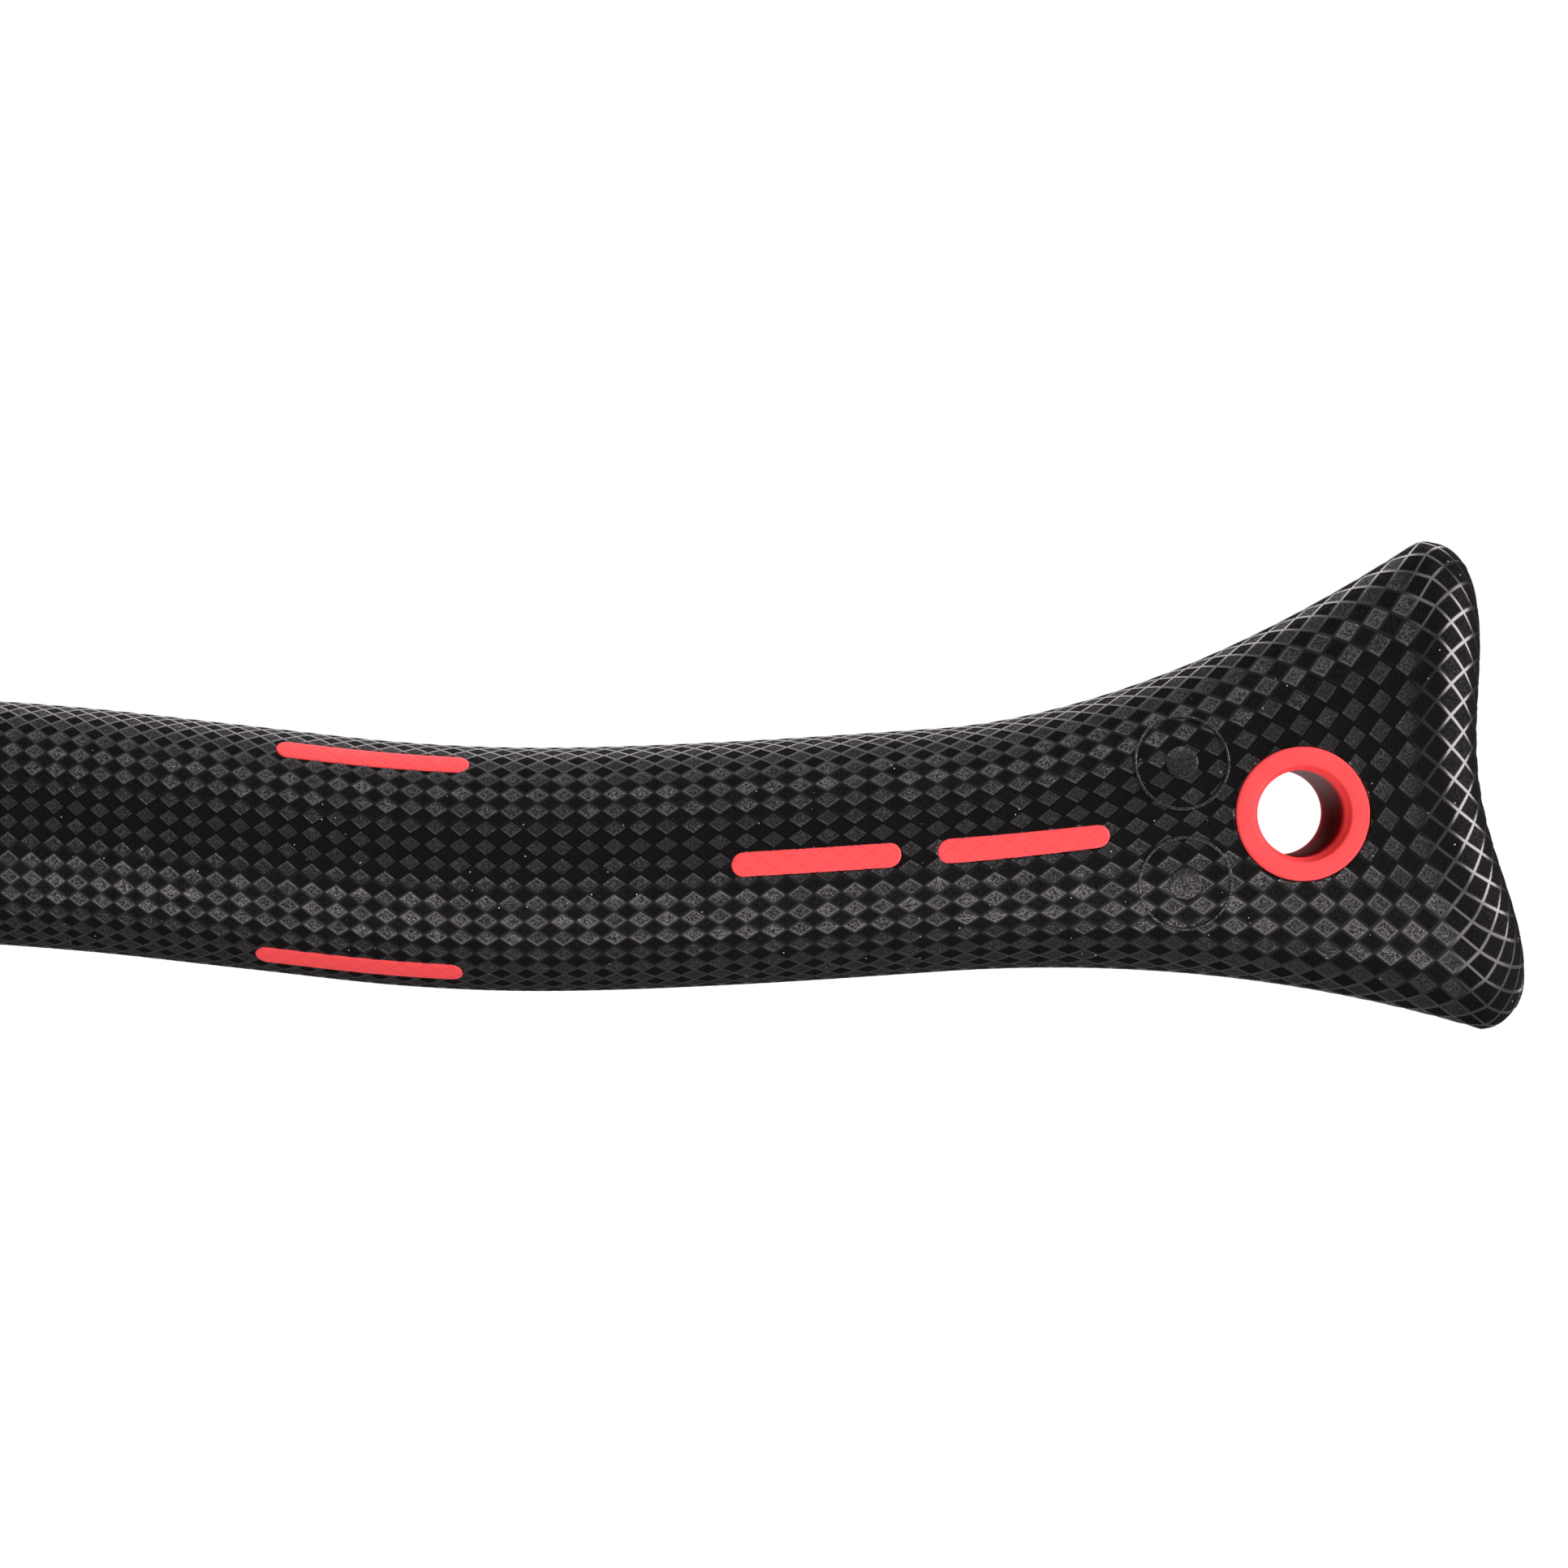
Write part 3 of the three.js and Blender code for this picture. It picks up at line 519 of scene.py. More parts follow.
def dust(n, spacing=520.0, size=0.055, share=0.35):
    """A mask of sparse tiny specks."""
    spots = n.add("ShaderNodeTexVoronoi")
    n.put(spots.inputs["Scale"], spacing)
    n.put(spots.inputs["Vector"], n.place())
    near = n.math("LESS_THAN", spots.outputs["Distance"], size)
    chance = n.split(spots.outputs["Color"])[0]
    return n.times(near, n.math("LESS_THAN", chance, share))


def rubber_black():
    """Black rubber: glossy raised lines between dull dark cells and lighter, finely lined ones."""
    n = Nodes("rubber_black")
    land, kind, lines, rim, chance, end = relief_fields(n)
    grain = n.noise(3600.0, 3.0)
    patches = n.noise(160.0, 2.0)
    cell = n.mix(kind, grey(0.005, 0.12), grey(0.017, 0.04))
    speckle = n.times(n.step(grain, 0.45, 0.72), n.mix(kind, 0.05, 0.8))
    speckle = n.times(speckle, n.mix(chance, 0.5, 1.0))
    cell = n.mix(speckle, cell, grey(0.062, 0.04))
    colour = n.mix(land, cell, grey(0.003, 0.05))
    colour = n.mix(n.times(patches, 0.08), colour, grey(0.018, 0.30))
    n.set("Base Color", n.mix(dust(n), colour, grey(0.45)))
    n.set("Roughness", n.mix(land, n.mix(kind, 0.75, 0.55), 0.5))
    n.set("Specular IOR Level", 0.02)
    gloss = n.times(n.step(grain, 0.35, 0.7), n.mix(chance, 0.3, 1.0))
    gloss = n.mix(n.times(rim, 0.6), gloss, 0.75)
    aslant = n.step(n.add("ShaderNodeLayerWeight").outputs["Facing"], 0.15, 0.45)
    sheer = n.math("MAXIMUM", aslant, end)
    gloss = n.times(gloss, n.mix(kind, 0.06, n.mix(aslant, 1.0, 0.2)))
    n.set("Coat Weight", n.mix(land, gloss, n.mix(sheer, 0.12, 1.0)))
    n.set("Coat Roughness", 0.28)
    n.set("Coat IOR", 2.0)
    height = n.math("ADD", lines, n.times(grain, 2.0))
    n.bump(n.times(height, n.flip(land)), 0.00003, 0.8)
    return n.material


def rubber_red():
    n = Nodes("rubber_red")
    land, kind, lines, *_ = relief_fields(n)
    grain = n.noise(2600.0, 3.0)
    colour = n.mix(n.times(grain, 0.5), (0.94, 0.075, 0.077, 1), (0.99, 0.110, 0.110, 1))
    colour = n.mix(n.times(land, 0.35), colour, (0.80, 0.055, 0.06, 1))
    n.set("Base Color", colour)
    n.set("Roughness", n.mix(land, 0.5, 0.4))
    n.set("Specular IOR Level", 0.2)
    relief_height = n.math("SUBTRACT", n.math("ADD", n.times(lines, 0.3), grain), land)
    n.bump(relief_height, 0.00004, 0.5)
    n.set("Subsurface Weight", 0.08)
    n.set("Subsurface Scale", 0.001)
    return n.material


def plastic_red():
    """Satin red, darker inside the bore where little light gets in."""
    n = Nodes("plastic_red")
    clouds = n.noise(260.0, 3.0)
    colour = n.mix(clouds, (0.93, 0.068, 0.070, 1), (0.98, 0.098, 0.100, 1))
    # Painted shade: the base colour turns near-black deep inside the bore, where little light gets in.
    depth = n.math("ABSOLUTE", n.split(n.place())[1])
    deep = n.flip(n.step(depth, (EYELET_FACE - 6) * MM, (EYELET_FACE - 1) * MM))
    n.set("Base Color", n.mix(deep, colour, (0.22, 0.002, 0.003, 1)))
    n.set("Roughness", n.mix(clouds, 0.45, 0.55))
    n.set("Specular IOR Level", 0.03)
    n.bump(n.noise(1800.0, 3.0), 0.00002, 0.35)
    n.set("Subsurface Weight", 0.08)
    n.set("Subsurface Scale", 0.001)
    return n.material


def plastic_core():
    n = Nodes("plastic_core")
    n.set("Base Color", n.mix(n.noise(300.0), (0.20, 0.018, 0.02, 1), (0.27, 0.03, 0.032, 1)))
    n.set("Roughness", n.mix(n.noise(900.0), 0.45, 0.6))
    n.bump(n.noise(1500.0), 0.00003, 0.4)
    return n.material


# Each metal's dark and light colour, least and most roughness, grain's scale and stretch, and depth.
METALS = {
    "anodised": (grey(0.045), grey(0.085), (0.30, 0.46), 1400.0, (0.03, 1, 1), 0.00001),
    "forged_alloy": (grey(0.13), grey(0.24), (0.38, 0.58), 1500.0, (1, 1, 1), 0.00003),
    "brushed_steel": (grey(0.26, 0.01), grey(0.44, 0.01), (0.24, 0.42), 1600.0, (1, 1, 0.04), 0.00001),
    "dark_steel": (grey(0.035), grey(0.08), (0.34, 0.5), 1300.0, (1, 1, 1), 0.00001),
}


def metal(name):
    """A metal whose fine grain is drawn out along one axis, with soft clouding and small scratches."""
    dark, light, (low, high), grain, stretch, depth = METALS[name]
    n = Nodes(name)
    lines = n.noise(grain, 4.0, stretch)
    clouds = n.noise(45.0, 3.0)
    scratches = n.step(n.noise(grain / 6, 1.0, tuple(s * 0.6 for s in stretch)), 0.62, 0.68)
    share = n.math("ADD", n.times(lines, 0.6), n.times(clouds, 0.4))
    colour = n.mix(share, dark, light)
    n.set("Base Color", n.mix(n.times(scratches, 0.25), colour, light))
    n.set("Metallic", 1.0)
    n.set("Roughness", n.mix(n.flip(share), low, high))
    n.bump(lines, depth, 0.6)
    return n.material


# ---- grip skin

def relief(along, around):
    """Height of the raised lines and the crowned cells, at places counted in diamonds."""
    rising, falling = along + around, along - around
    edge = np.minimum(np.abs(rising - np.round(rising)), np.abs(falling - np.round(falling)))
    land = np.clip(1 - edge * STEPS_PER_DIAMOND, 0, 1)
    return LAND_HEIGHT * land + CELL_CROWN * np.sin(np.clip(edge * 2, 0, 1) * math.pi / 2)


def inlay_distance(points):
    """How far each point of the skin lies outside the nearest inlay's outline, in millimetres."""
    nearest = np.full(points.shape[:-1], 1e3)
    folded = points.copy()
    folded[..., 1] = np.abs(folded[..., 1])
    for start, end, height in INLAYS.values():
        stations = np.linspace(start + INLAY_WIDTH / 2, end - INLAY_WIDTH / 2, 24)
        spine = Sections(stations).point(np.full(24, math.asin(height)))
        for a, b in zip(spine[:-1], spine[1:]):
            axis = b - a
            t = np.clip(((folded - a) @ axis) / (axis @ axis), 0, 1)
            away = np.linalg.norm(folded - a - t[..., None] * axis, axis=-1) - INLAY_WIDTH / 2
            nearest = np.minimum(nearest, away)
    return nearest


def diamond_length(station):
    return DIAMOND_LENGTH + DIAMOND_GROWTH * station


def diamond_counts():
    """Stations along the grip, and each one's way from the end face counted in diamonds."""
    fine = np.linspace(GRIP_FRONT + LIP_ROUND, GRIP_END, 4001)
    steps = np.linalg.norm(np.diff(Sections(fine).middle, axis=0), axis=1)
    count = np.concatenate([[0], (steps / diamond_length(fine[1:])).cumsum()])
    return fine, count - count[-1]


def skin_rows():
    """Rows from the front lip, over the end's rounding, to the end face's middle."""
    step = diamond_length(GRIP_END) / STEPS_PER_DIAMOND
    fine, count = diamond_counts()
    places = np.arange(-int(-count[0] * STEPS_PER_DIAMOND), 1) / STEPS_PER_DIAMOND
    stations = np.interp(places, count, fine)
    lip = np.linspace(0, math.pi / 2, 5)[:-1]
    turns = np.linspace(0, math.pi / 2, round(END_ROUND * math.pi / 2 / step) + 1)[1:]
    flat = Sections([GRIP_END]).width[0] - END_ROUND
    inward = np.linspace(0, flat, round(flat / step) + 1)[1:-1]
    front = np.full(len(lip) + 1, stations[0])
    end = np.full(len(turns) + len(inward), GRIP_END)
    station = np.concatenate([front, stations, end])
    inset = np.concatenate([
        [LIP_WALL], LIP_ROUND * (1 - np.sin(lip)), np.zeros(len(stations)),
        END_ROUND * (1 - np.cos(turns)), END_ROUND + inward,
    ])
    advance = np.concatenate([
        [-LIP_ROUND], -LIP_ROUND * np.cos(lip), np.zeros(len(stations)),
        END_ROUND * np.sin(turns), np.full(len(inward), END_ROUND),
    ])
    along = np.arange(len(station)) - len(front) - len(stations) + 1
    return station, inset, advance, along


def skin_points():
    """The skin's smooth grid, the same grid with its relief, and its rows' lattice places."""
    station, inset, advance, along = skin_rows()
    sections = Sections(station, inset, advance)
    smooth = sections.point(even_angles(sections, COLUMNS))
    around = np.arange(COLUMNS) / STEPS_PER_DIAMOND
    lift = relief(along[:, None] / STEPS_PER_DIAMOND, around[None, :])
    lift = lift * ease(GRIP_FRONT + PLAIN_LIP, GRIP_FRONT + FULL_RELIEF, station)[:, None]
    lift = lift - POCKET_DEPTH * (1 - ease(-POCKET_FLOOR, -POCKET_RIM, inlay_distance(smooth)))
    return smooth, smooth + normals_of(smooth) * lift[..., None], along


def skin_triangles(along, columns):
    """The grid's triangles, split along the relief's lines, with their lattice coordinates."""
    i, j = np.meshgrid(np.arange(len(along) - 1), np.arange(columns), indexing="ij")
    i, j = i.ravel(), j.ravel()
    falls = ((i + along[0] + j + 1) % STEPS_PER_DIAMOND == 0)[:, None, None]
    corner = {"a": (0, 0), "b": (0, 1), "c": (1, 1), "d": (1, 0)}

    def half(names):
        rows = np.stack([i + corner[name][0] for name in names], 1)
        places = np.stack([j + corner[name][1] for name in names], 1)
        uv = np.stack([along[rows], places], -1) / STEPS_PER_DIAMOND
        return np.concatenate([rows[..., None] * columns + (places % columns)[..., None], uv], -1)

    first = np.where(falls, half("abd"), half("abc"))
    second = np.where(falls, half("bcd"), half("acd"))
    both = np.concatenate([first, second])
    return both[..., 0].astype(int), both[..., 1:]


def end_slit(rows, columns, along):
    """Triangles that close the narrow slit left in the end face's middle."""
    last = (rows - 1) * columns
    half = columns // 2
    triangles, uv = [], []
    for j in range(half):
        a, b = j, j + 1
        c, d = columns - j - 1, (columns - j) % columns
        for corners in ((a, b, c), (a, c, d)):
            if len(set(corners)) == 3:
                triangles.append([last + k for k in corners])
                uv.append([(along[-1] / STEPS_PER_DIAMOND, k / STEPS_PER_DIAMOND) for k in corners])
    return np.array(triangles), np.array(uv)


def seat_hole(points, triangles, lattice):
    """Cut a clean round hole for the eyelet in both sides, and give each a wall."""
    away = points[:, [0, 2]] - (EYELET_X, EYELET_Z)
    distance = np.linalg.norm(away, axis=1)
    inside = (distance < SEAT_RADIUS) & (np.abs(points[:, 1]) > 5) & (points[:, 0] < GRIP_END - END_ROUND)
    kept = ~inside[triangles].all(axis=1)
    triangles, lattice = triangles[kept], lattice[kept]
    rim = np.unique(triangles[inside[triangles]])
    points[rim[:, None], [0, 2]] = (EYELET_X, EYELET_Z) + away[rim] * (SEAT_RADIUS / distance[rim])[:, None]
    for side in (-1, 1):
        loop = rim[points[rim, 1] * side > 0]
        loop = loop[np.argsort(np.arctan2(away[loop, 1], away[loop, 0]))]
        deep = points[loop] - [0, side * SEAT_DEPTH, 0]
        base = len(points) + np.arange(len(loop))
        points = np.concatenate([points, deep])
        following, under = np.roll(loop, -1), np.roll(base, -1)
        wall = np.concatenate([np.stack([loop, following, under], 1), np.stack([loop, under, base], 1)])
        triangles = np.concatenate([triangles, wall])
        lattice = np.concatenate([lattice, np.zeros((len(wall), 3, 2))])
    return points, triangles, lattice


def build_skin():
    smooth, points, along = skin_points()
    rows, columns = points.shape[:2]
    triangles, lattice = skin_triangles(along, columns)
    slit, slit_lattice = end_slit(rows, columns, along)
    triangles = np.concatenate([triangles, slit])
    lattice = np.concatenate([lattice, slit_lattice])
    points, triangles, lattice = seat_hole(points.reshape(-1, 3), triangles, lattice)
    used, compact = np.unique(triangles, return_inverse=True)
    made = triangle_object("grip_skin_moulded", points[used], compact.reshape(triangles.shape), lattice)
    return made, smooth


# ---- grip trims

def inlay_lift(inside):
    """An inlay's height above the grip's smooth surface, rounded over near its outline."""
    edge = 1 - np.clip(inside / INLAY_EDGE, 0, 1)
    return INLAY_PROUD - INLAY_EDGE * (1 - np.sqrt(1 - edge**2))


def build_inlay(name, side):
    """A bar with round ends that follows the grip's surface."""
    start, end, height = INLAYS[name]
    radius = INLAY_WIDTH / 2
    turns = np.linspace(0.06, math.pi / 2, 12)
    straight = np.linspace(start + radius, end - radius, 48)[1:-1]
    stations = np.concatenate([
        start + radius * (1 - np.cos(turns)), straight, end - radius * (1 - np.cos(turns[::-1]))
    ])
    over = np.maximum(np.maximum(start + radius - stations, stations - end + radius), 0)
    half = np.sqrt(np.maximum(radius**2 - over**2, 0))
    across = np.sin(np.linspace(-math.pi / 2, math.pi / 2, 25))
    centre = np.full((len(stations), 1), math.asin(height))
    nudge = 0.01

    def surface_at(angles, ahead=0.0):
        return Sections(stations + ahead).point(angles)

    rate = np.linalg.norm(surface_at(centre + nudge) - surface_at(centre - nudge), axis=-1) / (2 * nudge)
    angles = centre + across * half[:, None] / rate
    surface = surface_at(angles)
    along_step = surface_at(angles, nudge) - surface_at(angles, -nudge)
    around_step = surface_at(angles + nudge) - surface_at(angles - nudge)
    normal = np.cross(around_step, along_step)
    normal /= np.linalg.norm(normal, axis=-1, keepdims=True)
    normal *= np.sign(np.sum(normal * (surface - surface_at(angles + math.pi)), -1))[..., None]
    inside = radius - np.hypot(over[:, None], across * half[:, None])
    top = surface + normal * inlay_lift(inside)[..., None]
    deep = surface - normal * POCKET_DEPTH
    rows, columns = top.shape[:2]
    grid = np.arange(rows * columns).reshape(rows, columns)
    faces = [
        (grid[i, j], grid[i, j + 1], grid[i + 1, j + 1], grid[i + 1, j])
        for i in range(rows - 1) for j in range(columns - 1)
    ]
    loop = [*grid[0, :-1], *grid[:-1, -1], *grid[-1, :0:-1], *grid[:0:-1, 0]]
    base = rows * columns
    for k, corner in enumerate(loop):
        following = (k + 1) % len(loop)
        faces.append((corner, loop[following], base + following, base + k))
    points = np.concatenate([top.reshape(-1, 3), deep.reshape(-1, 3)[loop]]) * [1, side, 1]
    place = lattice_of(stations, angles, side)
    lattice = np.concatenate([place.reshape(-1, 2), place.reshape(-1, 2)[loop]])
    suffix = "near" if side < 0 else "far"
    return mesh_from(f"{name}_{suffix}_bar", points, faces, lattice), f"{name}_{suffix}"


def lattice_of(stations, angles, side):
    """The relief's coordinates at places on the grip, as the skin counts them."""
    fine, count = diamond_counts()
    along = np.interp(stations, fine, count)
    skin_angles = even_angles(Sections(stations), COLUMNS)
    around = np.array([np.interp(a, row, np.arange(COLUMNS)) for a, row in zip(angles, skin_angles)])
    around = around / STEPS_PER_DIAMOND
    if side < 0:
        around = DIAMONDS_AROUND - around
    return np.stack([np.broadcast_to(along[:, None], around.shape), around], -1)


def build_mark(name, centre, smooth):
    """A thin raised ring around a small plain dot, laid on the grip's near side."""
    rows = smooth[smooth[:, 0, 0] > FLARE_START]
    count, columns = rows.shape[:2]
    tree = BVHTree.FromPolygons(rows.reshape(-1, 3).tolist(), ring_faces(count, columns))
    half = MARK_WIDTH / 2
    edge = [(MARK_DOT - 0.2, DOT_RISE - 0.02), (MARK_DOT - 0.05, DOT_RISE - 0.08), (MARK_DOT, 0)]
    dot = [(0, DOT_RISE), (MARK_DOT * 0.6, DOT_RISE), *edge]
    band = [(MARK_RADIUS + half * t, MARK_RISE * math.sqrt(1 - t**4)) for t in np.linspace(-1, 1, 9)]
    points, faces = [], []
    for profile in (dot, band):
        base = len(points)
        for radius, rise in profile:
            for turn in full_turn():
                x = centre[0] + radius * math.cos(turn)
                z = centre[1] + radius * math.sin(turn)
                hit, normal, _, _ = tree.ray_cast(Vector((x, -60, z)), Vector((0, 1, 0)))
                normal = normal if normal.y < 0 else -normal
                points.append(hit + normal * rise)
        faces += [tuple(base + k for k in face) for face in ring_faces(len(profile), CIRCLE_STEPS)]
    middle_of_a_cell = np.tile([-9.0, 0.5], (len(points), 1))
    return mesh_from(name, points, faces, middle_of_a_cell)


def build_bushing():
    """The flanged eyelet, with a ledge inside each mouth."""
    bore, flange = EYELET_BORE / 2, EYELET_FLANGE / 2
    under = EYELET_FACE - FLANGE_THICKNESS
    half = [
        (bore, under - EYELET_STEP), (bore + EYELET_STEP, under), (bore + EYELET_STEP, EYELET_FACE),
        (flange, EYELET_FACE), (flange, under), (EYELET_BARREL, under),
    ]
    corners = half + [(r, -y) for r, y in reversed(half)]
    return moved(lathe("eyelet_ring", corners, 0.45, 128), EYELET_X, 0, EYELET_Z)


# ---- shaft

def tube_path():
    """The tube's centreline as fine points of X and Z, from its foot to its top."""
    step = 1.5
    grip_x = np.arange(TUBE_FOOT, GRIP_FRONT, -step)
    level = line_height(GRIP_FRONT)
    level_x = np.arange(GRIP_FRONT, GRIP_FRONT - TUBE_LEVEL, -step)
    turns = np.linspace(0, BEND, 40)
    bend_x = GRIP_FRONT - TUBE_LEVEL - BEND_RADIUS * np.sin(turns)
    bend_z = level + BEND_RADIUS * (1 - np.cos(turns))
    neck = np.arange(step, NECK + step / 2, step)
    neck = np.append(neck[:-1], NECK)
    return np.concatenate([
        np.stack([grip_x, line_height(grip_x)], -1),
        np.stack([level_x, np.full(len(level_x), level)], -1),
        np.stack([bend_x, bend_z], -1),
        np.stack([bend_x[-1] - neck * math.cos(BEND), bend_z[-1] + neck * math.sin(BEND)], -1),
    ])


def build_tube():
    path = tube_path()
    tangent = np.gradient(path, axis=0)
    tangent /= np.linalg.norm(tangent, axis=1, keepdims=True)
    rise = np.stack([-tangent[:, 1], tangent[:, 0]], -1)
    turns = full_turn()
    edge = 0.4
    rings = []
    for wall, order in ((0.0, 1), (TUBE_WALL, -1)):
        inset = np.full(len(path), wall)
        inset[[0, -1]] = wall + edge * order
        for k in np.arange(len(path))[::order]:
            half_height, half_width = TUBE_HEIGHT / 2 - inset[k], TUBE_WIDTH / 2 - inset[k]
            offset = half_height * np.sin(turns)
            x = path[k, 0] + rise[k, 0] * offset
            z = path[k, 1] + rise[k, 1] * offset
            rings.append(np.stack([x, half_width * np.cos(turns), z], -1))
    points = np.concatenate(rings)
    return mesh_from("shaft_tube_drawn", points, ring_faces(len(rings), len(turns), closed_rows=True))


# ---- head

TUBE_TOP = Vector((tube_path()[-1, 0], 0, tube_path()[-1, 1])) * MM
HEAD_PLACE = Matrix.Translation(TUBE_TOP) @ Matrix.Rotation(BEND, 4, "Y")


def in_head(piece):
    piece.data.transform(HEAD_PLACE)
    return piece


def oval_bar(name, height, width, start, end, edge):
    """An oval bar along X with rounded ends."""
    turns = full_turn()
    roll = np.linspace(0, math.pi / 2, 5)
    profile = [(start + edge * (1 - math.sin(t)), edge * (1 - math.cos(t))) for t in roll[::-1]]
    profile += [(end - edge * (1 - math.sin(t)), edge * (1 - math.cos(t))) for t in roll]
    points = [(profile[0][0], 0, 0)] * len(turns)
    for x, inset in profile:
        points += [(x, (width / 2 - inset) * math.cos(t), (height / 2 - inset) * math.sin(t)) for t in turns]
    points += [(profile[-1][0], 0, 0)] * len(turns)
    return mesh_from(name, points, ring_faces(len(profile) + 2, len(turns)))


def bolt_cutters():
    return [cross_bar(BOLT_DIAMETER + 2 * GAP, BOLT_X, z) for z in (FRONT_BOLT, REAR_BOLT)]


def cheek_outline():
    half = TUBE_HEIGHT / 2
    turn = -COLLAR - SHOULDER_CURVE
    top, corner = HEAD_TOP, CHEEK_CORNER
    return [
        *curve((-COLLAR, -half), (turn, -half), (-COLLAR - REAR_SHOULDER, -CHEEK_REAR), steps=16),
        *curve((top + corner, -CHEEK_REAR), (top, -CHEEK_REAR), (top, -CHEEK_REAR + corner), steps=12),
        *curve((top, CHEEK_FRONT - corner), (top, CHEEK_FRONT), (top + corner, CHEEK_FRONT), steps=12),
        *curve((-COLLAR - FRONT_SHOULDER, CHEEK_FRONT), (turn, half), (-COLLAR, half), steps=16),
    ]


def build_head_body():
    bore_height, bore_width = TUBE_HEIGHT - 2 * TUBE_WALL, TUBE_WIDTH - 2 * TUBE_WALL
    body = plate("head_forging", [cheek_outline()], CHEEK_WIDTH, 1.4)
    collar = oval_bar("collar", TUBE_HEIGHT, TUBE_WIDTH, -COLLAR - 3, -GAP, 0.8)
    tenon = oval_bar("tenon", bore_height - 2 * GAP, bore_width - 2 * GAP, -2 * GAP - 1, TENON, 1.0)
    combine(body, collar, tenon, how="UNION")
    slot_corners = [
        (HEAD_TOP - 10, -2 * CHEEK_FRONT), (SLOT_FLOOR, -2 * CHEEK_FRONT),
        (SLOT_FLOOR, 2 * CHEEK_FRONT), (HEAD_TOP - 10, 2 * CHEEK_FRONT),
    ]
    slot = plate("slot", [slot_corners], PICK_THICKNESS + 2 * GAP, 0.05)
    rivets = [cross_bar(RIVET_DIAMETER + 2 * GAP, place, 0) for place in RIVET_PLACES]
    return combine(body, slot, *bolt_cutters(), *rivets)


def pick_back(reach):
    """A point on the pick's back edge, by its reach from the shaft's axis."""
    share = max((reach - PICK_BENT_FROM) / (PICK_REACH - PICK_BENT_FROM), 0)
    return HEAD_TOP - PICK_STAND + PICK_DROP * share**1.7


def pick_depth(reach):
    share = min(max((reach - CHEEK_FRONT) / (PICK_REACH - CHEEK_FRONT), 0), 1)
    return PICK_BASE + (PICK_TIP - PICK_BASE) * share**0.8


def under_pick(reach, lift=0.0):
    return (pick_back(reach) + pick_depth(reach) - lift, reach)


def pick_outline():
    back_x, corner = HEAD_TOP - PICK_STAND, PICK_REAR_CORNER
    seat = SLOT_FLOOR - GAP
    outline = [(seat, -PICK_REAR)]
    outline += curve((back_x + corner, -PICK_REAR), (back_x, -PICK_REAR), (back_x, corner - PICK_REAR))
    back = np.linspace(PICK_BENT_FROM, PICK_REACH - TIP_CHAMFER, 48)
    outline += [(pick_back(reach), reach) for reach in back]
    outline.append(under_pick(PICK_REACH))
    first = PICK_REACH - TIP_FLAT
    for i in range(TEETH):
        outline.append(under_pick(first - i * TOOTH_PITCH, TOOTH_DEPTH))
        outline.append(under_pick(first - (i + TOOTH_RAKE) * TOOTH_PITCH))
    teeth_end = first - TEETH * TOOTH_PITCH
    throat = under_pick(teeth_end, TOOTH_DEPTH)
    outline += curve(throat, (throat[0], (teeth_end + CHEEK_FRONT) / 2), (seat, CHEEK_FRONT), steps=20)
    return outline


def build_pick():
    """The plate, thinned towards its tip, with its teeth, clip hole and bolt holes."""
    hole_x = pick_back(CLIP_REACH) + pick_depth(CLIP_REACH) / 2
    clip = arc(hole_x, CLIP_REACH, CLIP_HOLE / 2, 0, 360, 73)[:-1]
    bolts = [arc(BOLT_X, z, BOLT_DIAMETER / 2 + GAP, 0, 360, 49)[:-1] for z in (FRONT_BOLT, REAR_BOLT)]
    pick = plate("pick_blade", [pick_outline(), clip, *bolts], PICK_THICKNESS, 0.45)
    for vertex in pick.data.vertices:
        thinned = ease(PICK_THINS_FROM, PICK_REACH, vertex.co.z / MM)
        vertex.co.y *= 1 - (1 - PICK_TIP_THINNESS) * thinned
    return pick


def blade_outline():
    root = CHEEK_WIDTH / 2 + GAP + ADZE_THICKNESS
    edge = ADZE_EDGE / 2
    waist, shoulder = ADZE_LENGTH * 0.35, ADZE_LENGTH * 0.5
    flare_line = curve((0, -root), (waist, -root), (shoulder, -edge), (ADZE_LENGTH, -edge), steps=24)
    crown = curve((ADZE_LENGTH, -edge), (ADZE_LENGTH + 2 * ADZE_CROWN, 0), (ADZE_LENGTH, edge), steps=24)
    return flare_line + crown[1:-1] + [(x, -z) for x, z in reversed(flare_line)]


def build_blade():
    """The adze's blade, ground to an edge and rolled so that it turns to the pommel."""
    blade = plate("blade", [blade_outline()], ADZE_THICKNESS, 0.4)
    shape = bmesh.new()
    shape.from_mesh(blade.data)
    for x in np.arange(2.0, ADZE_LENGTH + ADZE_CROWN, 2.0):
        everything = shape.verts[:] + shape.edges[:] + shape.faces[:]
        bmesh.ops.bisect_plane(shape, geom=everything, plane_co=(x * MM, 0, 0), plane_no=(1, 0, 0))
    for vertex in shape.verts:
        x, depth, across = vertex.co / MM
        edge_x = ADZE_LENGTH + ADZE_CROWN * (1 - (2 * across / ADZE_EDGE) ** 2)
        ground = ease(edge_x - GRIND_WIDTH, edge_x, x)
        depth = (depth + ADZE_THICKNESS / 2) * (1 - (1 - GRIND_THINNESS) * ground)
        turn = x / ADZE_RADIUS
        radius = ADZE_RADIUS - depth
        rolled_x = HEAD_TOP + EAR_HEIGHT / 2 + ADZE_RADIUS - radius * math.cos(turn)
        vertex.co = Vector((rolled_x, across, -EAR_REACH - radius * math.sin(turn))) * MM
    bmesh.ops.recalc_face_normals(shape, faces=shape.faces)
    shape.to_mesh(blade.data)
    shape.free()
    return blade


def rounded_rectangle(left, right, low, high, radius):
    outline = []
    for i, (x, z) in enumerate([(right, low), (right, high), (left, high), (left, low)]):
        centre_x = x + radius if x == left else x - radius
        centre_z = z + radius if z == low else z - radius
        outline += arc(centre_x, centre_z, radius, 90 * i - 90, 90 * i)
    return outline


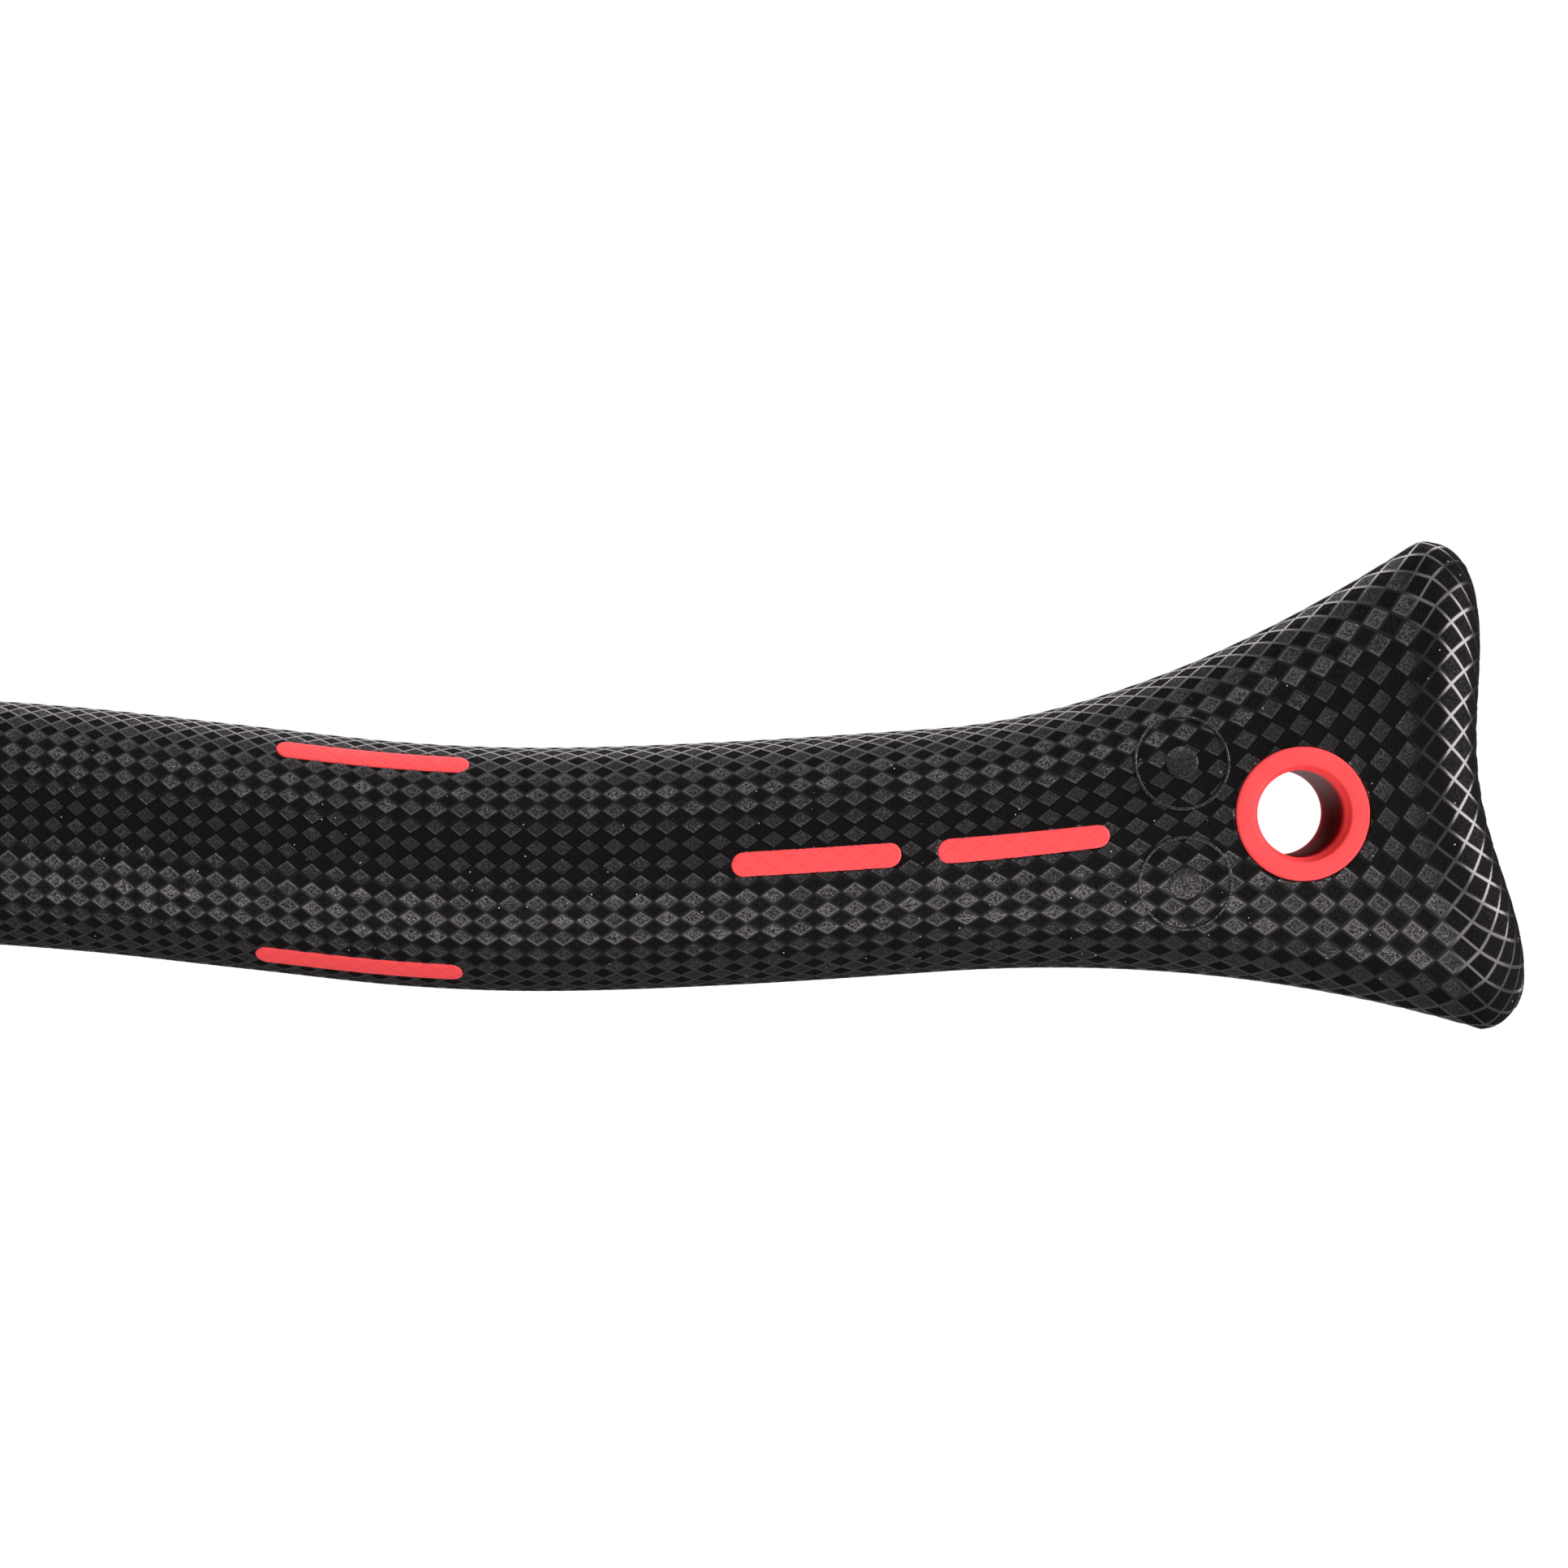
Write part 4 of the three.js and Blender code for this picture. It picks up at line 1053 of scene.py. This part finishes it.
def build_adze():
    low = HEAD_TOP + EAR_INSET
    back = -EAR_REACH - ADZE_THICKNESS
    outline = rounded_rectangle(low, low + EAR_HEIGHT, back, REAR_BOLT + EAR_PAST_BOLT, EAR_CORNER)
    offset = CHEEK_WIDTH / 2 + GAP + ADZE_THICKNESS / 2
    ears = [moved(plate("ear", [outline], ADZE_THICKNESS, 0.4), 0, side * offset, 0) for side in (-1, 1)]
    width = 2 * (offset + ADZE_THICKNESS / 2 - BRIDGE_OVERLAP)
    bridge_outline = rounded_rectangle(
        low + BRIDGE_MARGIN, low + EAR_HEIGHT - BRIDGE_MARGIN,
        back + BRIDGE_OVERLAP, BRIDGE_OVERLAP - EAR_REACH, 0.5,
    )
    bridge = plate("bridge", [bridge_outline], width, 0.1)
    adze = build_blade()
    adze.name = "adze_forging"
    combine(adze, bridge, *ears, how="UNION")
    return combine(adze, *bolt_cutters())


# ---- fasteners

def hexagon(key):
    radius = key / math.sqrt(3)
    return [(radius * math.sin(turn), radius * math.cos(turn)) for turn in np.arange(6) * math.pi / 3]


def thread(radius, start, end, pitch=1.0, depth=0.45):
    """A bolt's threaded outline as fine V grooves."""
    count = int((end - start) / pitch)
    corners = []
    for i in range(count):
        y = start + i * pitch
        corners += [(radius, y), (radius - depth, y + pitch / 2)]
    return corners


def build_bolt(name, face):
    """A socket screw along Y, with its head on the near side and its thread in the nut."""
    radius, head_radius = BOLT_DIAMETER / 2, BOLT_HEAD / 2
    head = -face - GAP
    crown = head - BOLT_HEAD_HEIGHT
    tip = face + WASHER_THICKNESS + NUT_HEIGHT + 3 * GAP + BOLT_END
    corners = [
        (0, crown), (head_radius, crown), (head_radius, head), (radius, head),
        *thread(radius, face, tip - 0.6), (radius - 0.7, tip), (0, tip),
    ]
    bolt = lathe(name, corners, 0.9, 64)
    socket = plate("socket", [hexagon(SOCKET_KEY)], 2 * SOCKET_DEPTH, 0.02)
    return combine(bolt, moved(socket, 0, crown, 0))


def build_washer(name):
    inner, outer, half = BOLT_DIAMETER / 2 + GAP, WASHER_DIAMETER / 2, WASHER_THICKNESS / 2
    return lathe(name, [(inner, -half), (outer, -half), (outer, half), (inner, half)], 0.22, 64)


def build_nut(name):
    """A hexagon whose corners are turned down to a cone at both faces."""
    half, bore, flat = NUT_HEIGHT / 2, BOLT_DIAMETER / 2 + GAP, NUT_KEY / 2 - 0.1
    outside, chamfer = NUT_KEY / math.sqrt(3) + 0.1, 0.7
    nut = lathe(name, [
        (bore, -half), (flat, -half), (outside, chamfer - half),
        (outside, half - chamfer), (flat, half), (bore, half),
    ], 0.15, 64)
    return combine(nut, plate("hexagon", [hexagon(NUT_KEY)], 2 * NUT_HEIGHT, 0.05), how="INTERSECT")


def build_rivet(name):
    radius, head_radius, seat = RIVET_DIAMETER / 2, RIVET_HEAD / 2, TUBE_WIDTH / 2 + GAP
    turns = np.linspace(0, math.pi / 2, 9)
    dome = [(head_radius * math.cos(t), seat + RIVET_RISE * math.sin(t)) for t in turns[:-1]]
    half = [(radius, seat), *dome, (0, seat + RIVET_RISE)]
    return lathe(name, [(r, -y) for r, y in reversed(half)] + half, 0.1, 48)


def build_fasteners(bright, dark):
    cheek = CHEEK_WIDTH / 2
    for prefix, z, face in (("front", FRONT_BOLT, cheek), ("rear", REAR_BOLT, cheek + GAP + ADZE_THICKNESS)):
        washer_y = face + GAP + WASHER_THICKNESS / 2
        nut_y = face + 2 * GAP + WASHER_THICKNESS + NUT_HEIGHT / 2
        bolt = build_bolt(f"{prefix}_bolt_turned", face)
        washer = build_washer(f"{prefix}_washer_turned")
        nut = build_nut(f"{prefix}_nut_cut")
        finished(in_head(moved(bolt, BOLT_X, 0, z)), f"{prefix}_bolt", dark)
        finished(in_head(moved(washer, BOLT_X, washer_y, z)), f"{prefix}_washer", bright)
        finished(in_head(moved(nut, BOLT_X, nut_y, z)), f"{prefix}_nut", dark)
    for i, place in enumerate(RIVET_PLACES, 1):
        rivet = in_head(moved(build_rivet(f"shaft_rivet_{i}_domed"), place, 0, 0))
        finished(rivet, f"shaft_rivet_{i}", bright)


# ---- assembly

def build_grip():
    black, red = rubber_black(), rubber_red()
    skin, smooth = build_skin()
    finished(skin, "grip_skin", black)
    for i, centre in enumerate(MARK_CENTRES, 1):
        finished(build_mark(f"grip_mark_{i}", centre, smooth), None, black)
    for name in INLAYS:
        for side in (-1, 1):
            bar, node = build_inlay(name, side)
            finished(bar, node, red)
    finished(build_bushing(), "eyelet_bushing", plastic_red())
    inner = plastic_core()
    for node in ("grip_core", "shaft_end_plug"):
        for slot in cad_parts[node].material_slots:
            slot.material = inner


def build_shaft_and_head():
    bright, dark = metal("brushed_steel"), metal("dark_steel")
    finished(build_tube(), "shaft_tube", metal("anodised"))
    finished(in_head(build_head_body()), "head_body", metal("forged_alloy"))
    finished(in_head(build_pick()), "pick", bright)
    finished(in_head(build_adze()), "adze", bright)
    build_fasteners(bright, dark)


build_grip()
build_shaft_and_head()


# ---- studio, in metres

FLOOR_HEIGHT = cad_box[0][2] - 0.03
MIDDLE = (Vector(cad_box[0]) + Vector(cad_box[1])) / 2


def make_camera():
    data = bpy.data.cameras.new("camera")
    camera = new_object("camera", data)
    distance, across, up = 550.0, 19.4, 11.9
    frame_width = 226.0
    data.sensor_width = 36.0
    data.lens = distance / frame_width * data.sensor_width
    data.clip_end = 100.0
    camera.location = Vector((across, -distance, up)) * MM
    camera.rotation_euler = (math.pi / 2, 0, 0)
    bpy.context.scene.camera = camera


def make_floor():
    """A wide pale floor that looks white to the camera."""
    size = 6.0
    corners = [(-size, -size), (size, -size), (size, size), (-size, size)]
    points = [(MIDDLE.x + x, MIDDLE.y + y, FLOOR_HEIGHT) for x, y in corners]
    mesh = bpy.data.meshes.new("floor")
    mesh.from_pydata(points, [], [(0, 1, 2, 3)])
    floor = new_object("floor", mesh)
    n = Nodes("floor_white")
    n.set("Base Color", grey(0.25))
    n.set("Roughness", 0.9)
    n.set("Specular IOR Level", 0.1)
    n.set("Emission Color", (1, 1, 1, 1))
    n.set("Emission Strength", n.add("ShaderNodeLightPath").outputs["Is Camera Ray"])
    mesh.materials.append(n.material)


def area_light(name, place, target, size, power):
    data = bpy.data.lights.new(name, "AREA")
    data.shape = "RECTANGLE"
    data.size, data.size_y = size
    data.energy = power
    data.color = (1.0, 0.94, 0.98)
    light = new_object(name, data)
    light.visible_camera = False
    light.location = place
    light.rotation_euler = (Vector(target) - Vector(place)).to_track_quat("-Z", "Y").to_euler()


def make_world():
    """White to the camera and dim to everything else."""
    world = bpy.data.worlds.new("studio")
    bpy.context.scene.world = world
    world.use_nodes = True
    tree = world.node_tree
    path, mix = (tree.nodes.new(kind) for kind in ("ShaderNodeLightPath", "ShaderNodeMix"))
    mix.data_type = "RGBA"
    mix.inputs[6].default_value = (0.04, 0.04, 0.042, 1)
    mix.inputs[7].default_value = (1, 1, 1, 1)
    tree.links.new(path.outputs["Is Camera Ray"], mix.inputs[0])
    tree.links.new(mix.outputs[2], tree.nodes["Background"].inputs["Color"])


def make_studio():
    """Soft light from above, behind and the pommel's side, and from two panels just over the floor."""
    around = {
        "key": ((0.15, -0.55, 0.95), (1.3, 0.8), 4.4),
        "top": ((0.1, 0.15, 1.0), (1.3, 0.6), 2),
        "back": ((0.1, 0.8, 0.75), (1.5, 0.6), 9),
        "right": ((1.0, -0.4, 0.15), (1.1, 0.9), 19),
    }
    for name, (offset, size, power) in around.items():
        area_light(f"{name}_light", MIDDLE + Vector(offset), MIDDLE, size, power)
    for name, depth, power in (("low_front", -0.12, 0.65), ("low_back", 0.22, 1.1)):
        place = Vector((0, depth, FLOOR_HEIGHT + 0.005))
        area_light(f"{name}_light", place, place + Vector((0, 0.03, 1)), (0.8, 0.14), power)


bpy.context.scene.view_settings.view_transform = "Standard"
make_camera()
make_floor()
make_world()
make_studio()
